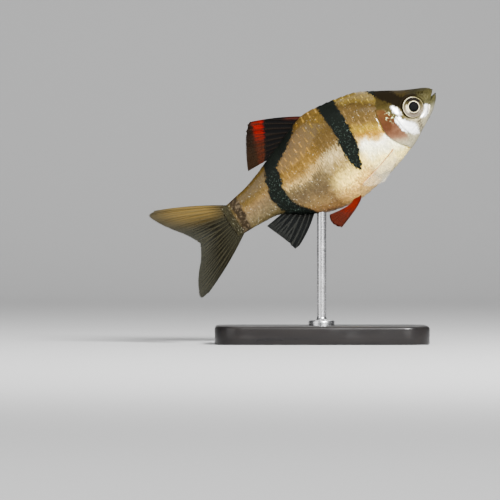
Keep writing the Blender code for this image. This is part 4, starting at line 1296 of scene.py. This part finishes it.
def paired_surface(sign, root, margin, arch):
    """Rays that leave the flank square, bend back and fan out to a curved margin."""
    first, second, third = (np.array(p) for p in margin)
    root = np.array(root)

    def surface(across, along):
        a, t = across[..., None], along[..., None]
        station, height = np.moveaxis(root[0] + (root[1] - root[0]) * a, -1, 0)
        back, belly, half_width, level = np.moveaxis(body_sizes(station), -1, 0)
        reach = np.where(height > level, back - level, level - belly)
        up = (height - level) / reach
        side = half_width * np.sqrt(np.maximum(0.0, 1 - up * up))
        square = unit(np.stack((0 * side, side / half_width**2, (height - level) / reach**2), axis=-1))
        start = np.stack((station, side, height), axis=-1) - 0.25 * square
        bend = start + (arch + 0.75) * square
        end = first * (1 - a) ** 2 + second * 2 * a * (1 - a) + third * a * a
        point = start * (1 - t) ** 2 + bend * 2 * t * (1 - t) + end * t * t
        return point * (1.0, sign, 1.0)

    return surface


# Stand and stage.


def rounded_outline(length, width, corner, steps):
    """A rectangle with round corners as a closed line of points."""
    turn = np.linspace(0, math.pi / 2, steps)
    corners = []
    for k, (x, y) in enumerate(((1, 1), (-1, 1), (-1, -1), (1, -1))):
        centre = np.array((x * (length / 2 - corner), y * (width / 2 - corner)))
        way = np.stack((np.cos(turn + k * math.pi / 2), np.sin(turn + k * math.pi / 2)), axis=-1)
        corners.append(centre + corner * way)
    return np.concatenate(corners)


def build_plate():
    """The base: its outline drawn in by a rounded edge profile at the top and a small one at the foot."""
    low, high = (np.array(p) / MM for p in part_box("stand_base"))
    length, width, top = high[0] - low[0], high[1] - low[1], high[2]
    profile = [(18.0, 0.0), (6.0, 0.0), (1.0, 0.0), (0.35, 0.0), (0.1, 0.12), (0.0, 0.35), (0.0, top / 2)]
    for t in np.linspace(0.0, math.pi / 2, 9):
        profile.append((BASE_BEVEL * (1 - math.cos(t)), top - BASE_BEVEL + BASE_BEVEL * math.sin(t)))
    profile += [(1.0, top), (6.0, top), (11.0, top)]
    rings = []
    for inset, height in profile:
        inset = min(inset, width / 2 - 1.0)
        line = rounded_outline(length - 2 * inset, width - 2 * inset, max(BASE_CORNER - inset, 0.6), 14)
        rings.append(np.concatenate((line, np.full((len(line), 1), height)), axis=1))
    points, faces = capped_rings(np.array(rings) * MM)
    lacquer = shared_material("Black lacquer", plate_look)
    make_piece("plate", points, faces, lacquer, ("stand_base",), sharp=35)


def build_post():
    """The rod: a profile turned about its axis, from a collar in the base to a top inside the belly."""
    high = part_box("stand_rod")[1][2] / MM
    plate_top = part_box("stand_base")[1][2] / MM
    collar = plate_top + 0.02
    sunk, edge = plate_top - SUNK_IN_BASE, collar + COLLAR_HEIGHT
    foot = edge + COLLAR_EDGE
    bend = [(math.sin(t), math.cos(t)) for t in np.linspace(0, math.pi / 2, 6)]
    profile = [(0.4, sunk), (COLLAR_RADIUS, sunk), (COLLAR_RADIUS, edge - 0.1)]
    profile += [(COLLAR_RADIUS - COLLAR_EDGE * (1 - c), edge + COLLAR_EDGE * s) for s, c in bend]
    profile += [(ROD_RADIUS + ROD_FILLET * (1 - s), foot + ROD_FILLET * (1 - c)) for s, c in bend]
    profile += [(ROD_RADIUS, z) for z in np.linspace(collar + 2.0, high - 1.5, 12)]
    profile += [(ROD_RADIUS, high + SUNK_IN_BELLY), (ROD_RADIUS / 2, high + SUNK_IN_BELLY)]
    around = np.linspace(0, ROUND, ROD_SIDES, endpoint=False)
    radius, rise = (np.array(column)[:, None] for column in zip(*profile))
    rings = np.stack((radius * np.cos(around), radius * np.sin(around), rise + 0 * around), axis=-1)
    points, faces = capped_rings(rings * MM)
    steel = shared_material("Turned steel", post_look)
    make_piece("post", points, faces, steel, ("stand_rod",), sharp=35)


def add_object(name, data, spot=(0.0, 0.0, 0.0), turned=(0.0, 0.0, 0.0)):
    """An object of the stage, at that spot in metres."""
    made = bpy.data.objects.new(name, data)
    made.location = spot
    made.rotation_euler = turned
    bpy.context.scene.collection.objects.link(made)
    return made


def build_stage():
    """A paper sweep under and behind the model, soft studio lamps and the photograph's camera."""
    scene = bpy.context.scene
    look = scene.barb_stage
    turn = np.linspace(0.0, math.pi / 2, 20)[1:]
    floor, wall = np.linspace(SWEEP_FRONT, SWEEP_BACK, 26), SWEEP_BACK + SWEEP_BEND
    run = np.concatenate((floor, SWEEP_BACK + SWEEP_BEND * np.sin(turn), [wall, wall]))
    rise = np.concatenate((0 * floor, SWEEP_BEND * (1 - np.cos(turn)), [SWEEP_TOP - 1.0, SWEEP_TOP]))
    x, y = np.meshgrid(np.linspace(-SWEEP_HALF, SWEEP_HALF, 24), run, indexing="ij")
    points = np.stack((x, y, np.broadcast_to(rise, x.shape)), axis=-1).reshape(-1, 3)
    mesh = bpy.data.meshes.new("studio_sweep")
    mesh.from_pydata(points.tolist(), [], grid_faces(*x.shape, False)[:, ::-1].tolist())
    mesh.materials.append(shared_material("Studio paper", paper_look))
    mesh.shade_smooth()
    add_object("studio_sweep", mesh)

    aim, ahead, behind = Vector((0.0, 0.0, 0.032)), Vector((0.0, -0.85, 0.0)), Vector((0.0, 1.35, 0.20))
    lamps = (
        ("key", (0.30, -0.66, 0.42), aim, 0.24, 75.0, look.key_power),
        ("fill", (-0.65, -0.50, 0.25), aim, 0.60, 120.0, look.fill_power),
        ("back", (0.10, 0.40, 0.70), aim, 0.60, 140.0, look.back_power),
        ("top", (-0.10, -0.05, 0.90), aim, 0.60, 140.0, look.top_power),
        ("front", (0.0, -0.85, 0.50), ahead, 0.60, 125.0, look.front_power),
        ("wall", (0.0, 0.85, 1.10), behind, 0.50, 120.0, look.wall_power),
    )
    for name, spot, target, size, spread, power in lamps:
        lamp = bpy.data.lights.new(name, "AREA")
        lamp.energy = power
        lamp.size = size
        lamp.spread = math.radians(spread)
        add_object(name, lamp, spot, (target - Vector(spot)).to_track_quat("-Z", "Y").to_euler())
    scene.world = bpy.data.worlds.new("studio")
    scene.world.use_nodes = True
    sky = scene.world.node_tree.nodes["Background"].inputs
    sky["Color"].default_value = (0.93, 0.95, 1.0, 1.0)
    sky["Strength"].default_value = look.sky

    camera = bpy.data.cameras.new("photo_camera")
    camera.sensor_width = SENSOR
    camera.lens = SENSOR * CAMERA_DISTANCE / VIEW_WIDTH
    camera.clip_start, camera.clip_end = 0.01, 20.0
    spot = (VIEW_CENTRE[0] * MM, -CAMERA_DISTANCE * MM, VIEW_CENTRE[1] * MM)
    scene.camera = add_object("photo_camera", camera, spot, (math.radians(90.0), 0.0, 0.0))


# Settings.


def colour_setting(name, text, default):
    """A colour to choose, as linear red, green and blue."""
    return FloatVectorProperty(name=name, description=text, default=default, subtype="COLOR", min=0, max=1)


def number_setting(name, text, default, low, high):
    """A plain number or a length in the fish's own millimetres."""
    return FloatProperty(name=name, description=text, default=default, min=low, max=high)


def share_setting(name, text, default, low=0.0, high=1.0):
    """One thing as a share of another."""
    return FloatProperty(name=name, description=text, default=default, min=low, max=high, subtype="FACTOR")


def power_setting(name, text, default):
    """A lamp's power in watts."""
    return FloatProperty(name=name, description=text, default=default, min=0.0, unit="POWER")


class BarbSkinSettings(PropertyGroup):
    back: colour_setting("Back", "Colour of the upper flank near the back", (0.125, 0.072, 0.012))
    flank: colour_setting("Flank", "Colour of the upper flank", (0.095, 0.058, 0.018))
    # Belly: the belly's gold, with a painted highlight in it.
    belly: colour_setting("Belly", "Colour of the belly", (0.97, 0.70, 0.16))
    band: colour_setting("Band", "Colour of the black bands", (0.003, 0.0038, 0.003))
    glitter: colour_setting("Glitter", "Green flecks in the black bands", (0.075, 0.105, 0.085))


class BarbScaleSettings(PropertyGroup):
    rows_above: number_setting("Rows above", "Scale rows from the lateral row to the back", 5.5, 3.0, 9.0)
    column_share: share_setting("Column share", "Spacing along a row over that of the rows", 0.80, 0.5, 1.2)
    half_height: share_setting("Half height", "Half a scale's height over the rows' spacing", 0.80, 0.5, 1.2)
    lift: number_setting("Lift", "How far a rear edge stands off the skin, in millimetres", 0.17, 0.02, 0.4)
    # Glint: how strong the painted highlight stroke on some scales' rear edges is.
    tone_spread: share_setting("Tone spread", "How much scales differ in tone", 0.30)
    glint: share_setting("Glint", "Strength of the pale stroke on some scales", 0.75)
    roughness: share_setting("Roughness", "Roughness of a scale", 0.28)


class BarbFinSettings(PropertyGroup):
    black: colour_setting("Black", "Colour of the dorsal fin's base", (0.0015, 0.0015, 0.0015))
    red: colour_setting("Red", "Colour of the dorsal fin's band", (0.092, 0.0008, 0.0005))
    orange: colour_setting("Orange", "Colour of the pelvic fins", (0.066, 0.0026, 0.0004))
    clear: share_setting("Membrane opacity", "Opacity of a clear fin between its rays", 0.965, 0.05)


class BarbStandSettings(PropertyGroup):
    lacquer: colour_setting("Lacquer", "Colour of the base", (0.004, 0.004, 0.0045))
    steel: colour_setting("Steel", "Colour of the rod", (0.66, 0.66, 0.67))


class BarbStageSettings(PropertyGroup):
    floor: colour_setting("Floor", "Colour of the paper sweep", (0.34, 0.34, 0.34))
    key_power: power_setting("Key", "Power of the key lamp", 7.0)
    fill_power: power_setting("Fill", "Power of the fill lamp", 1.6)
    back_power: power_setting("Back", "Power of the back lamp", 2.4)
    top_power: power_setting("Top", "Power of the top lamp", 1.6)
    front_power: power_setting("Front", "Power of the lamp over the front of the floor", 5.5)
    wall_power: power_setting("Wall", "Power of the lamp on the paper behind", 6.0)
    sky: number_setting("Sky", "Strength of the even light", 0.08, 0.0, 3.0)


# Operators.


class BARB_OT_skin(Operator):
    """Builds the seamless skin of the head and body"""

    bl_idname = "barb.skin"
    bl_label = "Skin"

    def execute(self, context):
        build_skin()
        return {"FINISHED"}


class BARB_OT_scales(Operator):
    """Lays the scales on both flanks"""

    bl_idname = "barb.scales"
    bl_label = "Scales"

    def execute(self, context):
        tables = flank_table()
        places = scale_places(tables)
        if len(places) < 100:
            raise RuntimeError("too few scales fit on the flank")
        build_scales("left", 1, tables, places, SEED)
        build_scales("right", -1, tables, places, SEED + 1)
        return {"FINISHED"}


class BARB_OT_eyes(Operator):
    """Builds the eyes"""

    bl_idname = "barb.eyes"
    bl_label = "Eyes"

    def execute(self, context):
        build_eye("left", 1)
        build_eye("right", -1)
        return {"FINISHED"}


class BARB_OT_barbels(Operator):
    """Builds the two feelers at the mouth"""

    bl_idname = "barb.barbels"
    bl_label = "Barbels"

    def execute(self, context):
        build_barbel("left", 1)
        build_barbel("right", -1)
        return {"FINISHED"}


class BARB_OT_middle_fins(Operator):
    """Builds the dorsal, anal and tail fins"""

    bl_idname = "barb.middle_fins"
    bl_label = "Middle fins"

    def execute(self, context):
        clear = context.scene.barb_fins.clear
        dark = fin_material("Dorsal fin", dorsal_paint, 0.97, 0.99, (0.004, 0.002, 0.0015), 0.5, 0.66)
        dorsal = middle_surface(DORSAL_START, DORSAL_END, False, DORSAL_MARGIN, DORSAL_BOW)
        build_fin("dorsal", dorsal, DORSAL_RAYS, dark, ("dorsal_fin",), plain=4)
        grey = fin_material("Anal fin", anal_paint, clear, 0.95, (0.013, 0.014, 0.013), 0.6, 0.5)
        anal = middle_surface(ANAL_START, ANAL_END, True, ANAL_MARGIN, ANAL_BOW)
        build_fin("anal", anal, ANAL_RAYS, grey, ("anal_fin",), plain=3)
        olive = fin_material("Tail fin", caudal_paint, clear, 0.98, (0.025, 0.0225, 0.013), 0.40)
        lobes = ("tail_fin_upper", "tail_fin_lower")
        build_fin("tail", caudal_surface, CAUDAL_RAYS, olive, lobes, plain=1, both_ends=True)
        return {"FINISHED"}


class BARB_OT_paired_fins(Operator):
    """Builds the pelvic and pectoral fins"""

    bl_idname = "barb.paired_fins"
    bl_label = "Paired fins"

    def execute(self, context):
        red = fin_material("Pelvic fin", pelvic_paint, 0.96, 0.99, (0.070, 0.004, 0.0007), 0.30)
        glass = fin_material("Pectoral fin", pectoral_paint, 0.03, 0.14)
        fins = (
            ("pelvic", PELVIC_ROOT, PELVIC_MARGIN, PELVIC_ARCH, PELVIC_RAYS, red, "red_fin"),
            ("pectoral", PECTORAL_ROOT, PECTORAL_MARGIN, PECTORAL_ARCH, PECTORAL_RAYS, glass, "clear_fin"),
        )
        for side, sign in (("left", 1), ("right", -1)):
            for name, root, margin, arch, rays, material, slot in fins:
                build_fin(f"{name}_{side}", paired_surface(sign, root, margin, arch), rays, material,
                          (f"{name}_fin_{side}",), plain=1)
        return {"FINISHED"}


class BARB_OT_stand(Operator):
    """Builds the base and its rod"""

    bl_idname = "barb.stand"
    bl_label = "Stand"

    def execute(self, context):
        build_plate()
        build_post()
        return {"FINISHED"}


class BARB_OT_stage(Operator):
    """Sets up the floor, the lamps and the photograph's camera"""

    bl_idname = "barb.stage"
    bl_label = "Stage"

    def execute(self, context):
        build_stage()
        return {"FINISHED"}


class BARB_PT_panel(Panel):
    """Lists the model's pieces and their settings"""

    bl_idname = "BARB_PT_panel"
    bl_label = "Tiger Barb"
    bl_space_type = "VIEW_3D"
    bl_region_type = "UI"
    bl_category = "Tiger Barb"

    def draw(self, context):
        for label, key, group in SETTINGS:
            box = self.layout.box()
            box.label(text=label)
            for name in group.__annotations__:
                box.prop(getattr(context.scene, key), name)
        for step in STEPS:
            self.layout.operator(step.bl_idname)


SETTINGS = (
    ("Skin", "barb_skin", BarbSkinSettings),
    ("Scales", "barb_scales", BarbScaleSettings),
    ("Fins", "barb_fins", BarbFinSettings),
    ("Stand", "barb_stand", BarbStandSettings),
    ("Stage", "barb_stage", BarbStageSettings),
)
STEPS = (
    BARB_OT_skin,
    BARB_OT_scales,
    BARB_OT_eyes,
    BARB_OT_barbels,
    BARB_OT_middle_fins,
    BARB_OT_paired_fins,
    BARB_OT_stand,
    BARB_OT_stage,
)


def register():
    for _, key, group in SETTINGS:
        bpy.utils.register_class(group)
        setattr(bpy.types.Scene, key, PointerProperty(type=group))
    for one in (*STEPS, BARB_PT_panel):
        bpy.utils.register_class(one)


def unregister():
    for one in (BARB_PT_panel, *reversed(STEPS)):
        bpy.utils.unregister_class(one)
    for _, key, group in reversed(SETTINGS):
        delattr(bpy.types.Scene, key)
        bpy.utils.unregister_class(group)


def main():
    register()
    for one in STEPS:
        family, name = one.bl_idname.split(".")
        getattr(getattr(bpy.ops, family), name)()


if __name__ == "__main__":
    main()
